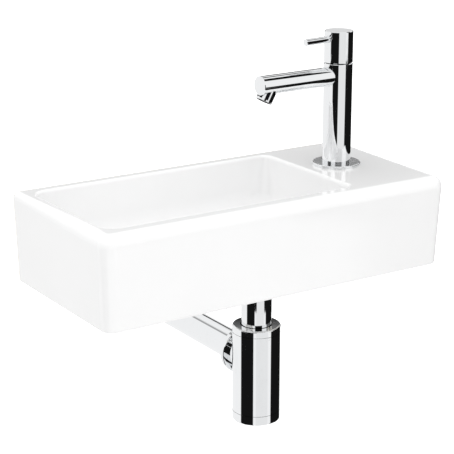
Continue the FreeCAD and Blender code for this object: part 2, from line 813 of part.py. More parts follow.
def tilt_hole(tube):
    """The hole in the spout's underside, along the aerator's axis."""
    sketch = new_sketch(tube, "aerator_hole_outline", "XY_Plane", x=-S.aerator_reach, z=S.spout_height)
    sketch.AttachmentOffset = FreeCAD.Placement(FreeCAD.Vector(), FreeCAD.Rotation(FreeCAD.Vector(0, 1, 0), 1.0))
    bind(sketch, "AttachmentOffset.Rotation.Angle", S.aerator_tilt)
    draw_circle(sketch, S.aerator_bore)
    pocket(tube, "aerator_hole", sketch, S.aerator_length)


def aerator_piece(thing):
    """Tilts a piece drawn along its own axis, its height 0 on the spout's axis, and puts it on the tap."""
    tilt = FreeCAD.Rotation(FreeCAD.Vector(0, 1, 0), S.aerator_tilt.number)
    on_tap = FreeCAD.Placement(FreeCAD.Vector((-S.aerator_reach).number, 0, S.spout_height.number), tilt)
    turn = FreeCAD.Rotation(FreeCAD.Vector(0, 0, 1), S.tap_turn.number)
    place = FreeCAD.Vector(TAP_X.number, TAP_Y.number, S.rim_above_bolts.number)
    thing.Placement = FreeCAD.Placement(place, turn).multiply(on_tap)
    PIECES.append(thing)


def make_aerator():
    """A fluted sleeve saddled on the spout, with a perforated insert and its seal."""
    foot = -S.aerator_length
    blank = ring("aerator_blank", S.aerator_radius, S.aerator_bore, foot, NOTHING)
    half_pitch = as_size(FULL_TURN / 2) / S.aerator_flutes
    first = math.radians(half_pitch.number)
    floor = S.aerator_radius - S.flute_depth
    flute = new_sketch(blank, "flute_outline", "XZ_Plane", x=floor * math.sin(first), z=floor * math.cos(first))
    flute.AttachmentOffset = FreeCAD.Placement(FreeCAD.Vector(), FreeCAD.Rotation(FreeCAD.Vector(0, 1, 0), 1.0))
    bind(flute, "AttachmentOffset.Rotation.Angle", half_pitch)
    half = S.flute_width / 2
    low = foot + S.flute_foot_margin
    draw_flute(flute, half, low, low + S.flute_length - half)
    cut = pocket(blank, "flute", flute, CUT_PAST, along_normal=True)
    axis = new_sketch(blank, "flute_axis", "XY_Plane")
    ring_pattern(blank, "flutes", cut, axis, S.aerator_flutes)

    saddle = DOC.addObject("Part::Cylinder", "spout_saddle")
    bind(saddle, "Radius", S.spout_radius + S.thread_gap)
    bind(saddle, "Height", S.aerator_radius * 4)
    saddle.Placement = FreeCAD.Placement(FreeCAD.Vector(), FreeCAD.Rotation(FreeCAD.Vector(0, 1, 0), 1.0))
    bind(saddle, "Placement.Rotation.Angle", 90.0 - S.aerator_tilt)
    reach = S.aerator_radius * 2
    lean = math.radians(90.0 - S.aerator_tilt.number)
    saddle.Placement.Base = FreeCAD.Vector(-reach.number * math.sin(lean), 0, -reach.number * math.cos(lean))
    housing = DOC.addObject("Part::Cut", "aerator_housing")
    housing.Label = "aerator_housing"
    housing.Base = blank
    housing.Tool = saddle
    aerator_piece(housing)

    insert_foot = foot + S.insert_recess
    insert_top = insert_foot + S.insert_length
    insert = ring("aerator_insert", S.aerator_bore - S.thread_gap, S.insert_hole_radius, insert_foot, insert_top)
    hole = new_sketch(insert, "insert_hole_outline", "XY_Plane", z=insert_top)
    draw_circle(hole, S.insert_hole_radius, x=S.insert_hole_ring)
    cut = pocket(insert, "insert_hole", hole, S.insert_length + CUT_PAST)
    ring_pattern(insert, "insert_hole_ring", cut, hole, S.insert_holes)
    aerator_piece(insert)
    seal_top = insert_top + S.aerator_seal_thickness
    aerator_piece(ring("aerator_seal", S.aerator_bore - S.thread_gap, S.aerator_seal_inner, insert_top, seal_top))


def draw_flute(sketch, half, foot, top):
    """A slot outline, square below and with a half round at its top."""
    low, high, side = foot.number, top.number, half.number
    vector = FreeCAD.Vector
    sketch.addGeometry(Part.LineSegment(vector(-side, high, 0), vector(-side, low, 0)), False)
    sketch.addGeometry(Part.LineSegment(vector(-side, low, 0), vector(side, low, 0)), False)
    sketch.addGeometry(Part.LineSegment(vector(side, low, 0), vector(side, high, 0)), False)
    crown = Part.Circle(vector(0, high, 0), vector(0, 0, 1), side)
    sketch.addGeometry(Part.ArcOfCircle(crown, 0.0, math.pi), False)
    sketch.addConstraint(Sketcher.Constraint("Coincident", 0, 2, 1, 1))
    sketch.addConstraint(Sketcher.Constraint("Coincident", 1, 2, 2, 1))
    sketch.addConstraint(Sketcher.Constraint("Tangent", 2, 2, 3, 1))
    sketch.addConstraint(Sketcher.Constraint("Tangent", 3, 2, 0, 1))
    sketch.addConstraint(Sketcher.Constraint("Vertical", 2))
    sketch.addConstraint(Sketcher.Constraint("Horizontal", 1))
    dimension(sketch, "Radius", (3,), half)
    pin_point(sketch, 3, 3, 0.0, top)
    dimension(sketch, "DistanceY", (-1, 1, 1, 1), foot)


def make_cartridge():
    """The quarter-turn valve: seal, fixed disc, turning disc, spindle and the body that holds them."""
    rim = S.cartridge_radius - S.thread_gap
    tap_ring("cartridge_seal", rim, S.cartridge_seal_inner, CARTRIDGE_SEAT, DISC_FOOT)
    neck_foot = COLUMN_TOP - S.cartridge_neck
    spindle_bore = S.spindle_radius + S.running_gap
    body = turned("cartridge_body", [
        (CARTRIDGE_INNER, DISC_FOOT), (rim, DISC_FOOT), (rim, COLUMN_TOP), (S.cartridge_head_radius, COLUMN_TOP),
        (S.cartridge_head_radius, CARTRIDGE_HEAD_TOP), (spindle_bore, CARTRIDGE_HEAD_TOP),
        (spindle_bore, neck_foot), (CARTRIDGE_INNER, neck_foot),
    ])
    hexagon = new_sketch(body, "cartridge_hexagon_outline", "XY_Plane", z=CARTRIDGE_HEAD_TOP)
    draw_hexagon(hexagon, S.cartridge_hexagon_flats)
    draw_circle(hexagon, spindle_bore)
    pad(body, "cartridge_hexagon", hexagon, S.cartridge_hexagon_height)
    bore_across(body, "cartridge_window", S.cartridge_window_radius, S.spout_height, NOTHING,
                S.cartridge_radius + CUT_PAST)
    tap_piece(body)

    disc_radius = CARTRIDGE_INNER - S.running_gap
    for label, low in (("fixed_disc", DISC_FOOT), ("turning_disc", TURNING_FOOT)):
        disc = new_body(label)
        outline = new_sketch(disc, f"{label}_outline", "XY_Plane", z=low)
        draw_circle(outline, disc_radius)
        for side in (-1, 1):
            draw_circle(outline, S.disc_port_radius, x=S.disc_port_place * side)
        pad(disc, f"{label}_thickness", outline, S.disc_thickness)
        tap_piece(disc)
    tap_piece(turned("spindle", [
        (0.0, SPINDLE_FOOT), (disc_radius, SPINDLE_FOOT), (disc_radius, SPINDLE_HEAD_TOP),
        (S.spindle_radius, SPINDLE_HEAD_TOP), (S.spindle_radius, SPINDLE_TOP), (0.0, SPINDLE_TOP),
    ]))


def make_handle():
    """The turning cap with its lever pin and the grub screw opposite."""
    hollow = S.column_radius - S.cap_wall
    bore = S.spindle_radius + S.thread_gap
    cap = turned("handle_cap", [
        (hollow, CAP_FOOT), (S.column_radius, CAP_FOOT), (S.column_radius, S.tap_height), (0.0, S.tap_height),
        (0.0, SPINDLE_TOP), (bore, SPINDLE_TOP), (bore, CAP_HOLLOW_TOP), (hollow, CAP_HOLLOW_TOP),
    ])
    bevel_ends(cap, S.column_radius, [CAP_FOOT, S.tap_height])
    socket_floor = S.column_radius - S.lever_socket_depth
    tail_end = socket_floor - S.lever_tail_length
    bore_across(cap, "lever_socket", S.lever_radius + S.thread_gap, S.lever_height, socket_floor,
                S.lever_socket_depth + CUT_PAST)
    bore_across(cap, "lever_thread", S.lever_tail_radius + S.thread_gap, S.lever_height, tail_end,
                S.lever_tail_length)
    screw_height = CAP_HOLLOW_TOP + S.spindle_in_cap / 2
    screw_hole = new_sketch(cap, "cap_screw_hole_outline", "YZ_Plane", y=screw_height)
    draw_circle(screw_hole, S.cap_screw_radius + S.thread_gap)
    pocket(cap, "cap_screw_hole", screw_hole, S.column_radius + CUT_PAST, along_normal=True)
    handle_turn = S.tap_turn + S.lever_turn
    piece(cap, TAP_X, TAP_Y, S.rim_above_bolts, handle_turn)

    lever = new_body("lever_pin")
    end = new_sketch(lever, "lever_outline", "YZ_Plane", y=S.lever_height, z=-S.lever_reach)
    draw_circle(end, S.lever_radius)
    pad(lever, "lever_length", end, S.lever_reach - socket_floor)
    tail = new_sketch(lever, "lever_tail_outline", "YZ_Plane", y=S.lever_height, z=-socket_floor)
    draw_circle(tail, S.lever_tail_radius)
    pad(lever, "lever_tail", tail, S.lever_tail_length)
    end_x = (-S.lever_reach).number
    round_edges(lever, "lever_bevel", lever.Tip, lambda edge: abs(edge.BoundBox.XMax - end_x) < MATCH,
                S.edge_break, "Chamfer")
    piece(lever, TAP_X, TAP_Y, S.rim_above_bolts, handle_turn)

    screw = new_body("cap_screw")
    inner_end = S.spindle_radius + S.running_gap
    base = new_sketch(screw, "cap_screw_outline", "YZ_Plane", y=screw_height, z=inner_end)
    draw_circle(base, S.cap_screw_radius)
    pad(screw, "cap_screw_length", base, S.cap_screw_length)
    key = new_sketch(screw, "cap_screw_key_outline", "YZ_Plane", y=screw_height, z=inner_end + S.cap_screw_length)
    draw_hexagon(key, S.cap_screw_key_flats)
    pocket(screw, "cap_screw_key", key, S.cap_screw_key_depth)
    piece(screw, TAP_X, TAP_Y, S.rim_above_bolts, handle_turn)


def make_tap_clamp():
    """The threaded shank through the deck and what clamps it from below."""
    shank_top = S.rosette_thickness + S.shank_in_column
    tail_top = SHANK_FOOT + S.shank_tail_length
    tap_piece(turned("tap_shank", [
        (S.shank_bore, SHANK_FOOT), (S.shank_tail_radius, SHANK_FOOT), (S.shank_tail_radius, tail_top),
        (S.shank_radius, tail_top), (S.shank_radius, shank_top), (S.shank_bore, shank_top),
    ]))
    bore = S.shank_radius + S.thread_gap
    deck_underside = -S.deck_thickness
    rubber_foot = deck_underside - S.rubber_washer_thickness
    steel_foot = rubber_foot - S.steel_washer_thickness
    tap_ring("shank_rubber_washer", S.shank_washer_radius, bore, rubber_foot, deck_underside)
    tap_ring("shank_steel_washer", S.shank_washer_radius, bore, steel_foot, rubber_foot)
    nut = new_body("shank_backnut")
    outline = new_sketch(nut, "backnut_outline", "XY_Plane", z=steel_foot - S.backnut_thickness)
    draw_hexagon(outline, S.backnut_flats)
    draw_circle(outline, bore)
    pad(nut, "backnut_height", outline, S.backnut_thickness)
    tap_piece(nut)


# Waste ------------------------------------------------------------------------------------------

WASTE_FLANGE_FOOT = WASTE_SEAT + S.waste_seal_thickness
WASTE_FLANGE_TOP = WASTE_FLANGE_FOOT + S.waste_flange_thickness
GRID_FOOT = WASTE_FLANGE_TOP - S.grid_recess_depth
BAR_TOP = WASTE_FLANGE_TOP - S.waste_bar_drop
TAIL_END = -S.waste_tail_end


def drain_piece(thing):
    """Puts a waste or trap piece on the drain's upright axis."""
    return piece(thing, DRAIN_X, DRAIN_Y, S.rim_above_bolts)


def drain_ring(label, outer, inner, low, high):
    drain_piece(ring(label, outer, inner, low, high))


def make_waste():
    """The flanged tail with a bar across it, the open grid and the clamp below the bowl."""
    flange_radius = S.waste_seat_radius - S.waste_flange_gap
    waste = turned("waste_body", [
        (S.waste_tail_bore, TAIL_END), (S.waste_tail_radius, TAIL_END), (S.waste_tail_radius, WASTE_FLANGE_FOOT),
        (flange_radius, WASTE_FLANGE_FOOT), (flange_radius, WASTE_FLANGE_TOP),
        (S.grid_recess_radius, WASTE_FLANGE_TOP), (S.grid_recess_radius, GRID_FOOT),
        (S.waste_tail_bore, GRID_FOOT),
    ])
    bevel_ends(waste, flange_radius, [WASTE_FLANGE_TOP])
    bar = new_sketch(waste, "bar_outline", "XY_Plane", z=BAR_TOP - S.waste_bar_height)
    half_bar = S.waste_bar_width / 2
    half_span = S.waste_tail_bore + S.waste_bar_overlap
    draw_rectangle(bar, -half_span, half_span, -half_bar, half_bar)
    draw_circle(bar, S.grid_screw_radius + S.thread_gap)
    pad(waste, "bar", bar, S.waste_bar_height)
    drain_piece(waste)

    grid_top = GRID_FOOT + S.grid_thickness
    bore = S.grid_screw_radius + S.thread_gap
    grid = ring("waste_grid", S.grid_recess_radius - S.slide_gap, bore, GRID_FOOT, grid_top)
    rings = (("inner", S.grid_inner_ring, S.grid_inner_holes), ("outer", S.grid_outer_ring, S.grid_outer_holes))
    for name, place, count in rings:
        hole = new_sketch(grid, f"grid_{name}_outline", "XY_Plane", z=grid_top)
        draw_circle(hole, S.grid_hole_radius, x=place)
        cut = pocket(grid, f"grid_{name}_hole", hole, S.grid_thickness + CUT_PAST)
        ring_pattern(grid, f"grid_{name}_ring", cut, hole, count)
    drain_piece(grid)

    head_top = grid_top + S.grid_screw_head_height
    screw_foot = BAR_TOP - S.waste_bar_height
    screw = turned("waste_grid_screw", [
        (0.0, screw_foot), (S.grid_screw_radius, screw_foot), (S.grid_screw_radius, grid_top),
        (S.grid_screw_head_radius, grid_top), (S.grid_screw_head_radius, head_top), (0.0, head_top),
    ])
    round_edges(screw, "head_round", screw.Tip, circle_at(S.grid_screw_head_radius, head_top), S.edge_break)
    slot = new_sketch(screw, "slot_outline", "XY_Plane", z=head_top)
    half_slot = S.grid_screw_slot_width / 2
    draw_rectangle(slot, -S.grid_screw_head_radius, S.grid_screw_head_radius, -half_slot, half_slot)
    pocket(screw, "slot", slot, S.grid_screw_head_height / 2)
    drain_piece(screw)

    bore = S.waste_tail_radius + S.thread_gap
    drain_ring("waste_top_seal", flange_radius, bore, WASTE_SEAT, WASTE_FLANGE_FOOT)
    seal_foot = BOSS_UNDERSIDE - S.bottom_seal_thickness
    washer_foot = seal_foot - S.slip_washer_thickness
    nut_foot = washer_foot - S.waste_nut_thickness
    drain_ring("waste_bottom_seal", S.waste_seat_radius, bore, seal_foot, BOSS_UNDERSIDE)
    drain_ring("waste_slip_washer", S.waste_seat_radius, bore, washer_foot, seal_foot)
    nut = ring("waste_backnut", S.waste_nut_radius, bore, nut_foot, washer_foot)
    notch = new_sketch(nut, "notch_outline", "XY_Plane", z=nut_foot)
    depth = (S.waste_nut_radius - S.waste_tail_radius) / 2
    half_notch = S.waste_notch_width / 2
    draw_rectangle(notch, S.waste_nut_radius - depth, S.waste_nut_radius + depth, -half_notch, half_notch)
    cut = pocket(nut, "notch", notch, S.waste_nut_thickness, along_normal=True)
    ring_pattern(nut, "notches", cut, notch, S.waste_nut_notches)
    drain_piece(nut)


# Bottle trap --------------------------------------------------------------------------------------

PIPE_FLANGE_TOP = TAIL_END - S.inlet_gasket_thickness
PIPE_FLANGE_FOOT = PIPE_FLANGE_TOP - S.pipe_flange_thickness
PIPE_BORE = S.pipe_radius - S.pipe_wall
BOTTLE_TOP = -S.bottle_top_depth
BOTTLE_CAP_FOOT = BOTTLE_TOP - S.bottle_cap_height
BODY_TOP = BOTTLE_CAP_FOOT - S.ring_line
BODY_FOOT = BOTTLE_TOP - S.bottle_length
PIPE_END = BODY_FOOT + S.pipe_end_above_foot
CLEANING_TOP = BODY_FOOT - S.ring_line
CLEANING_FOOT = CLEANING_TOP - S.cleaning_cap_height
BOTTLE_BORE = S.bottle_radius - S.bottle_wall
CAP_THREAD = BOTTLE_BORE - S.thread_gap
OUTLET_Z = BOTTLE_TOP - S.outlet_below_top
OUTLET_BORE = S.pipe_radius + S.slide_gap


def make_inlet():
    """The pipe from the waste down into the bottle, with its coupling nut and gasket."""
    lip_foot = PIPE_FLANGE_FOOT - S.inlet_nut_lip
    thread = S.waste_tail_radius + S.thread_gap
    nut_top = TAIL_END + S.inlet_nut_thread
    nut = turned("inlet_nut", [
        (S.pipe_radius + S.slide_gap, lip_foot), (S.inlet_nut_radius, lip_foot), (S.inlet_nut_radius, nut_top),
        (thread, nut_top), (thread, PIPE_FLANGE_FOOT), (S.pipe_radius + S.slide_gap, PIPE_FLANGE_FOOT),
    ])
    bevel_ends(nut, S.inlet_nut_radius, [lip_foot, nut_top])
    drain_piece(nut)
    drain_ring("inlet_gasket", S.pipe_flange_radius, PIPE_BORE, PIPE_FLANGE_TOP, TAIL_END)
    drain_piece(turned("inlet_pipe", [
        (PIPE_BORE, PIPE_END), (S.pipe_radius, PIPE_END), (S.pipe_radius, PIPE_FLANGE_FOOT),
        (S.pipe_flange_radius, PIPE_FLANGE_FOOT), (S.pipe_flange_radius, PIPE_FLANGE_TOP),
        (PIPE_BORE, PIPE_FLANGE_TOP),
    ]))


def make_bottle():
    """Cap, seal, body with its outlet stub, and the cap below that opens for cleaning."""
    hole = S.pipe_radius + S.bottle_cap_hole_gap
    web_foot = BOTTLE_TOP - S.bottle_cap_web
    thread_foot = OUTLET_Z + OUTLET_BORE + S.bottle_cap_thread_above_outlet
    skirt_inner = CAP_THREAD - S.bottle_cap_skirt
    cap = turned("bottle_cap", [
        (hole, web_foot), (hole, BOTTLE_TOP), (S.bottle_radius, BOTTLE_TOP), (S.bottle_radius, BOTTLE_CAP_FOOT),
        (CAP_THREAD, BOTTLE_CAP_FOOT), (CAP_THREAD, thread_foot), (skirt_inner, thread_foot),
        (skirt_inner, web_foot),
    ])
    round_edges(cap, "bottle_cap_round", cap.Tip, circle_at(S.bottle_radius, BOTTLE_TOP), S.bottle_edge_round)
    drain_piece(cap)
    seal_foot = web_foot - S.cone_seal_height
    drain_piece(turned("bottle_cap_seal", [
        (S.pipe_radius + S.thread_gap, seal_foot), (S.pipe_radius + S.bottle_cap_hole_gap, seal_foot),
        (skirt_inner - S.thread_gap, web_foot), (S.pipe_radius + S.thread_gap, web_foot),
    ]))
    make_bottle_body()
    make_cleaning_cap()


def make_bottle_body():
    """The bottle's tube with a stub towards the wall."""
    body = ring("bottle_body", S.bottle_radius, BOTTLE_BORE, BODY_FOOT, BODY_TOP)
    stub_end = S.outlet_nut_start + S.outlet_nut_length - S.outlet_nut_lip - S.outlet_seal_thickness
    stub = new_sketch(body, "stub_outline", "XZ_Plane", y=OUTLET_Z, z=-stub_end)
    draw_circle(stub, S.outlet_stub_radius)
    pad(body, "stub", stub, stub_end)
    clear = new_sketch(body, "stub_clear_outline", "XY_Plane", z=BODY_TOP)
    draw_circle(clear, BOTTLE_BORE)
    pocket(body, "stub_clear", clear, BODY_TOP - BODY_FOOT)
    bore = new_sketch(body, "stub_bore_outline", "XZ_Plane", y=OUTLET_Z, z=-stub_end)
    draw_circle(bore, OUTLET_BORE)
    pocket(body, "stub_bore", bore, stub_end, along_normal=True)
    drain_piece(body)


def make_cleaning_cap():
    """The bottle's foot, screwed up into the body on a ring seal."""
    web_top = CLEANING_FOOT + S.cleaning_cap_web
    thread_top = CLEANING_TOP + S.cleaning_cap_thread
    outer = BOTTLE_BORE - S.slide_gap
    inner = outer - S.bottle_cap_skirt
    groove_foot = CLEANING_TOP + S.cleaning_ring_radius
    groove_top = groove_foot + S.cleaning_ring_radius * 2
    groove_floor = outer - S.cleaning_ring_radius
    cap = turned("cleaning_cap", [
        (0.0, CLEANING_FOOT), (S.bottle_radius, CLEANING_FOOT), (S.bottle_radius, CLEANING_TOP),
        (outer, CLEANING_TOP),
        (outer, groove_foot), (groove_floor, groove_foot), (groove_floor, groove_top), (outer, groove_top),
        (outer, thread_top), (inner, thread_top), (inner, web_top), (0.0, web_top),
    ])
    round_edges(cap, "cleaning_cap_round", cap.Tip, circle_at(S.bottle_radius, CLEANING_FOOT),
                S.cleaning_cap_edge_round)
    drain_piece(cap)
    drain_ring("cleaning_cap_ring", outer, groove_floor, groove_foot, groove_top)


def towards_wall(label, outline):
    """A turned body laid along y, its height 0 on the bottle's axis."""
    body = turned(label, outline)
    lay_back(body, DRAIN_X, DRAIN_Y, S.rim_above_bolts + OUTLET_Z)
    return body


def make_outlet():
    """Nut, seal and pipe on the level axis from the bottle to the wall."""
    nut_end = S.outlet_nut_start + S.outlet_nut_length
    lip_start = nut_end - S.outlet_nut_lip
    seal_start = lip_start - S.outlet_seal_thickness
    thread = S.outlet_stub_radius + S.thread_gap
    pipe_hole = S.pipe_radius + S.thread_gap
    nut = towards_wall("outlet_nut", [
        (thread, S.outlet_nut_start), (S.outlet_nut_radius, S.outlet_nut_start), (S.outlet_nut_radius, nut_end),
        (pipe_hole, nut_end), (pipe_hole, lip_start), (thread, lip_start),
    ])
    bevel_ends(nut, S.outlet_nut_radius, [S.outlet_nut_start, nut_end])
    towards_wall("outlet_seal", [
        (pipe_hole, seal_start), (S.outlet_stub_radius, seal_start), (S.outlet_stub_radius, lip_start),
        (pipe_hole, lip_start),
    ])
    pipe_start = seal_start - S.wall_pipe_overlap
    pipe_end = S.drain_from_wall + S.wall_pipe_in_wall
    mark_end = pipe_end - S.wall_pipe_socket_length
    mark_start = mark_end - S.pipe_mark_width
    mark_floor = S.pipe_radius - S.pipe_mark_depth
    towards_wall("wall_pipe", [
        (PIPE_BORE, pipe_start), (S.pipe_radius, pipe_start), (S.pipe_radius, mark_start),
        (mark_floor, mark_start), (mark_floor, mark_end), (S.pipe_radius, mark_end), (S.pipe_radius, pipe_end),
        (PIPE_BORE, pipe_end),
    ])


# Build, test and write -----------------------------------------------------------------------------


def test_pieces():
    """Stops where a feature failed or a shape is missing or not valid."""
    for thing in DOC.Objects:
        bad = [state for state in thing.State if state in ("Invalid", "Error")]
        if bad:
            raise ValueError(f"{thing.Label}: {bad}")
    for thing in PIECES:
        if thing.Shape.isNull() or not thing.Shape.isValid() or thing.Shape.Volume <= 0.0:
            raise ValueError(f"{thing.Label}: bad shape")


def write_pieces():
    os.makedirs("parts", exist_ok=True)
    for thing in PIECES:
        thing.Shape.exportStep(os.path.join("parts", f"{thing.Label}.step"))


make_basin()
make_wall_fixing()
make_tap_foot()
make_column()
make_spout()
make_aerator()
make_cartridge()
make_handle()
make_tap_clamp()
make_waste()
make_inlet()
make_bottle()
make_outlet()
DOC.recompute()
test_pieces()
write_pieces()
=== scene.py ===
"""Wall hung hand basin with pillar tap, open waste and bottle trap: finishes, threads and studio.

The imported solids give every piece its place. This file gives them their finishes, puts cut threads and
chamfered nuts in the place of the plain ones, and sets up the studio. Lengths are in metres.
"""
import json
import math

import bpy
import numpy as np
from bpy.props import FloatProperty, FloatVectorProperty, PointerProperty
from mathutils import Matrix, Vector


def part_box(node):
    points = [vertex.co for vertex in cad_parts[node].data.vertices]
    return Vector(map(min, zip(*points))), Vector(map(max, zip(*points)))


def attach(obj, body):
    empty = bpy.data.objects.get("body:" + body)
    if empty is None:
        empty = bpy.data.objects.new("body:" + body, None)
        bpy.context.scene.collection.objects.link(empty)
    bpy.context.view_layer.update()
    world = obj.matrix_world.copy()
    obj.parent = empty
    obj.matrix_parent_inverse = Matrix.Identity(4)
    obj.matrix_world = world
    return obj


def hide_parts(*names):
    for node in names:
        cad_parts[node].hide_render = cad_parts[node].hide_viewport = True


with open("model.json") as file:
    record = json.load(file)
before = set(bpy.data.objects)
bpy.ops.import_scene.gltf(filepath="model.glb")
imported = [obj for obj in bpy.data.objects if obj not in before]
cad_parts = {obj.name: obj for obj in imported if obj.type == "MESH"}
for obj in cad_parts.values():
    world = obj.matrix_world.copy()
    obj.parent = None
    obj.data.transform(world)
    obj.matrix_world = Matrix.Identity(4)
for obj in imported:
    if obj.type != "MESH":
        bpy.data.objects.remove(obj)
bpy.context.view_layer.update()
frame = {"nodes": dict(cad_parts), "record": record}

bl_info = {
    "name": "Wall hung hand basin",
    "version": (1, 0, 0),
    "blender": (4, 5, 0),
    "location": "3D View > Sidebar > Hand basin",
    "description": "Finishes, threads and studio for a wall hung hand basin with tap and bottle trap",
    "category": "Object",
}

MM = 0.001
FULL_TURN = 2.0 * math.pi
ROOT_BODY = "basin_and_tap"

BASIN_LOW, BASIN_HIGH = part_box("basin")
BOLTS_LOW, BOLTS_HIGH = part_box("wall_bolts")
NUTS_LOW, NUTS_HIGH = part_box("fixing_nuts")
BACKNUT_LOW, BACKNUT_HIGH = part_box("shank_backnut")
SHANK_LOW, SHANK_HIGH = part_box("tap_shank")
WASTE_LOW, WASTE_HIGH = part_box("waste_body")
COLUMN_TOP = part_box("tap_column")[1].z
CAP_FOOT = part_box("handle_cap")[0].z

# The basin's hollow underside: where the clay inside its walls, bowl and deck begins, as the two ends of a soft step.
SKIRT_INSIDE = (0.0105, 0.0125)
REAR_INSIDE = (-0.0122, -0.0118)
BOWL_FOOT = (0.0160, 0.0185)
DECK_FOOT = (0.0645, 0.0655)
DECK_SIDE = (0.0975, 0.0985)

# The back's wiped band, how far both wiped edges wander, and the heights of the finest marks on each finish.
BACK_BAND = (-0.0012, -0.0006)
EDGE_WANDER = 0.0016
GLAZE_PEEL = 0.0000012
CHROME_LINES = 0.0000003
BRASS_MARKS = 0.000012
ZINC_GRAIN = 0.000016
RUBBER_GRAIN = 0.00003
PLASTIC_GRAIN = 0.000018
DISC_SCORES = 0.000004

# Black for the painted shade in the aerator's slots.
SLOT_SHADE_BLACK = (0.012, 0.012, 0.013, 1.0)
GREASE = (0.01, 0.009, 0.007, 1.0)
THIN_GLAZE = (0.86, 0.845, 0.81, 1.0)
OLD_BRASS = (0.58, 0.42, 0.2, 1.0)
YELLOW_CAST = (0.64, 0.63, 0.56, 1.0)
BLUE_CAST = (0.58, 0.61, 0.66, 1.0)
RUBBER_DUST = (0.12, 0.118, 0.115, 1.0)
WHITE = (1.0, 1.0, 1.0, 1.0)

# Shares of a pitch: how deep each thread is cut, how far a nut's bore opens at its mouth, half a wood thread's blade.
THREAD_DEPTH = 0.6
WASTE_THREAD_DEPTH = 0.5
NUT_THREAD_DEPTH = 0.55
NUT_MOUTH = 0.6
HALF_BLADE = 0.2

# Rows of points along one pitch of each thread.
NUT_ROWS_PER_PITCH = 10.0
BOLT_ROWS_PER_PITCH = 8.0
WOOD_ROWS_PER_PITCH = 14.0

# A wall bolt's wood thread over its machine thread, and a nut's face over its flats.
WOOD_OVER_BOLT = 1.1
NUT_FACE = 0.96
NUT_ROWS = 25
NUT_BORE_ROWS = 12
NUT_SHARP_ANGLE = math.radians(25.0)
BAR_COLUMNS, BAR_ROWS = 32, 24

# How far the sides of a panel fade, and its lower and upper edges, in degrees. Then how much each kind takes away.
PANEL_SOFT, PANEL_EDGE, PANEL_SHARP = 3.0, 2.0, 0.1
BLACK_SHADE, SHELF_SHADE, LID_SHADE, MIDDLE_SHADE = 0.992, 0.6, 0.25, 0.1
FLOOR_RADII = (40.0, 12.0, 4.0, 1.5, 0.5, 0.02)
LAMP_SIZE = (2.4, 1.8)
LAMP_PLACE = Vector((-0.45, -2.2, 0.55))
LAMP_AIM = Vector((0.0, -0.09, 0.0))


def slot_colour(name):
    """The colour that the record gives one material slot, with full alpha."""
    for material in frame["record"]["materials"]:
        if material["slot"] == name:
            return tuple(material["base_color"]) + (1.0,)
    raise ValueError(name)


def colour_setting(name, description, default):
    """A colour with its alpha."""
    return FloatVectorProperty(name=name, description=description, default=default, size=4, min=0.0, max=1.0,
                               subtype="COLOR")


def length_setting(name, description, default, low=0.0, high=1.0):
    """A length in metres."""
    return FloatProperty(name=name, description=description, default=default, min=low, max=high, precision=5,
                         subtype="DISTANCE", unit="LENGTH")


def share_setting(name, description, default):
    """A share from 0 to 1."""
    return FloatProperty(name=name, description=description, default=default, min=0.0, max=1.0,
                         subtype="FACTOR")


# Settings -----------------------------------------------------------------------------------------


class GlazeSettings(bpy.types.PropertyGroup):
    """The basin's glaze and its bare clay."""

    colour: colour_setting("Glaze", "Colour of the glazed ceramic", slot_colour("white_glaze"))
    clay: colour_setting("Bare clay", "Colour of the fired clay where it has no glaze", (0.74, 0.69, 0.6, 1.0))
    roughness: share_setting("Roughness", "Roughness of the glaze where it is thickest", 0.045)
    sag: length_setting("Sag", "Height of the broad waves in the glaze", 0.00006)
    grain: length_setting("Clay grain", "Height of the grain on the bare clay", 0.00012)
    bare_foot: length_setting("Bare foot", "Height of the wiped band round the foot", 0.0004)


class ChromeSettings(bpy.types.PropertyGroup):
    """The plated pieces of the tap, the waste and the trap."""

    colour: colour_setting("Chrome", "Colour of the plating", slot_colour("chrome"))
    roughness: share_setting("Roughness", "Roughness of clean plating", 0.02)
    smudge: share_setting("Smudges", "Roughness that fingers and dried water add", 0.05)
    satin: share_setting("Satin", "Roughness that the tap's foot ring has besides", 0.2)
    ripple: length_setting("Ripple", "Height of the polisher's ripple", 0.000004)
    # Below this radius the aerator's sleeve gets painted shade.
    slot_floor: length_setting("Slot floor", "Radius below which the aerator's sleeve is dark", 0.0082)
    slot_place: FloatVectorProperty(name="Aerator place", description="A point on the aerator's axis",
                                    default=(0.04944, -0.08505, 0.1728), size=3, subtype="TRANSLATION", unit="LENGTH")
    slot_way: FloatVectorProperty(name="Aerator way", description="The way that the aerator's axis runs",
                                  default=(-0.49978, -0.01483, -0.86603), size=3, subtype="DIRECTION")


class InnerSettings(bpy.types.PropertyGroup):
    """The pieces that are mostly hidden: valve, fixings and seals."""

    brass: colour_setting("Brass", "Colour of the turned brass", slot_colour("brass"))
    zinc: colour_setting("Zinc", "Colour of the zinc plated steel", slot_colour("zinc_steel"))
    rubber: colour_setting("Rubber", "Colour of the seals", slot_colour("black_rubber"))
    white: colour_setting("White plastic", "Colour of the sleeves and the slip washer",
                          slot_colour("white_plastic"))
    grey: colour_setting("Grey plastic", "Colour of the waste's back nut and the aerator's insert",
                         slot_colour("grey_plastic"))
    disc: colour_setting("Valve ceramic", "Colour of the lapped valve discs", slot_colour("valve_ceramic"))


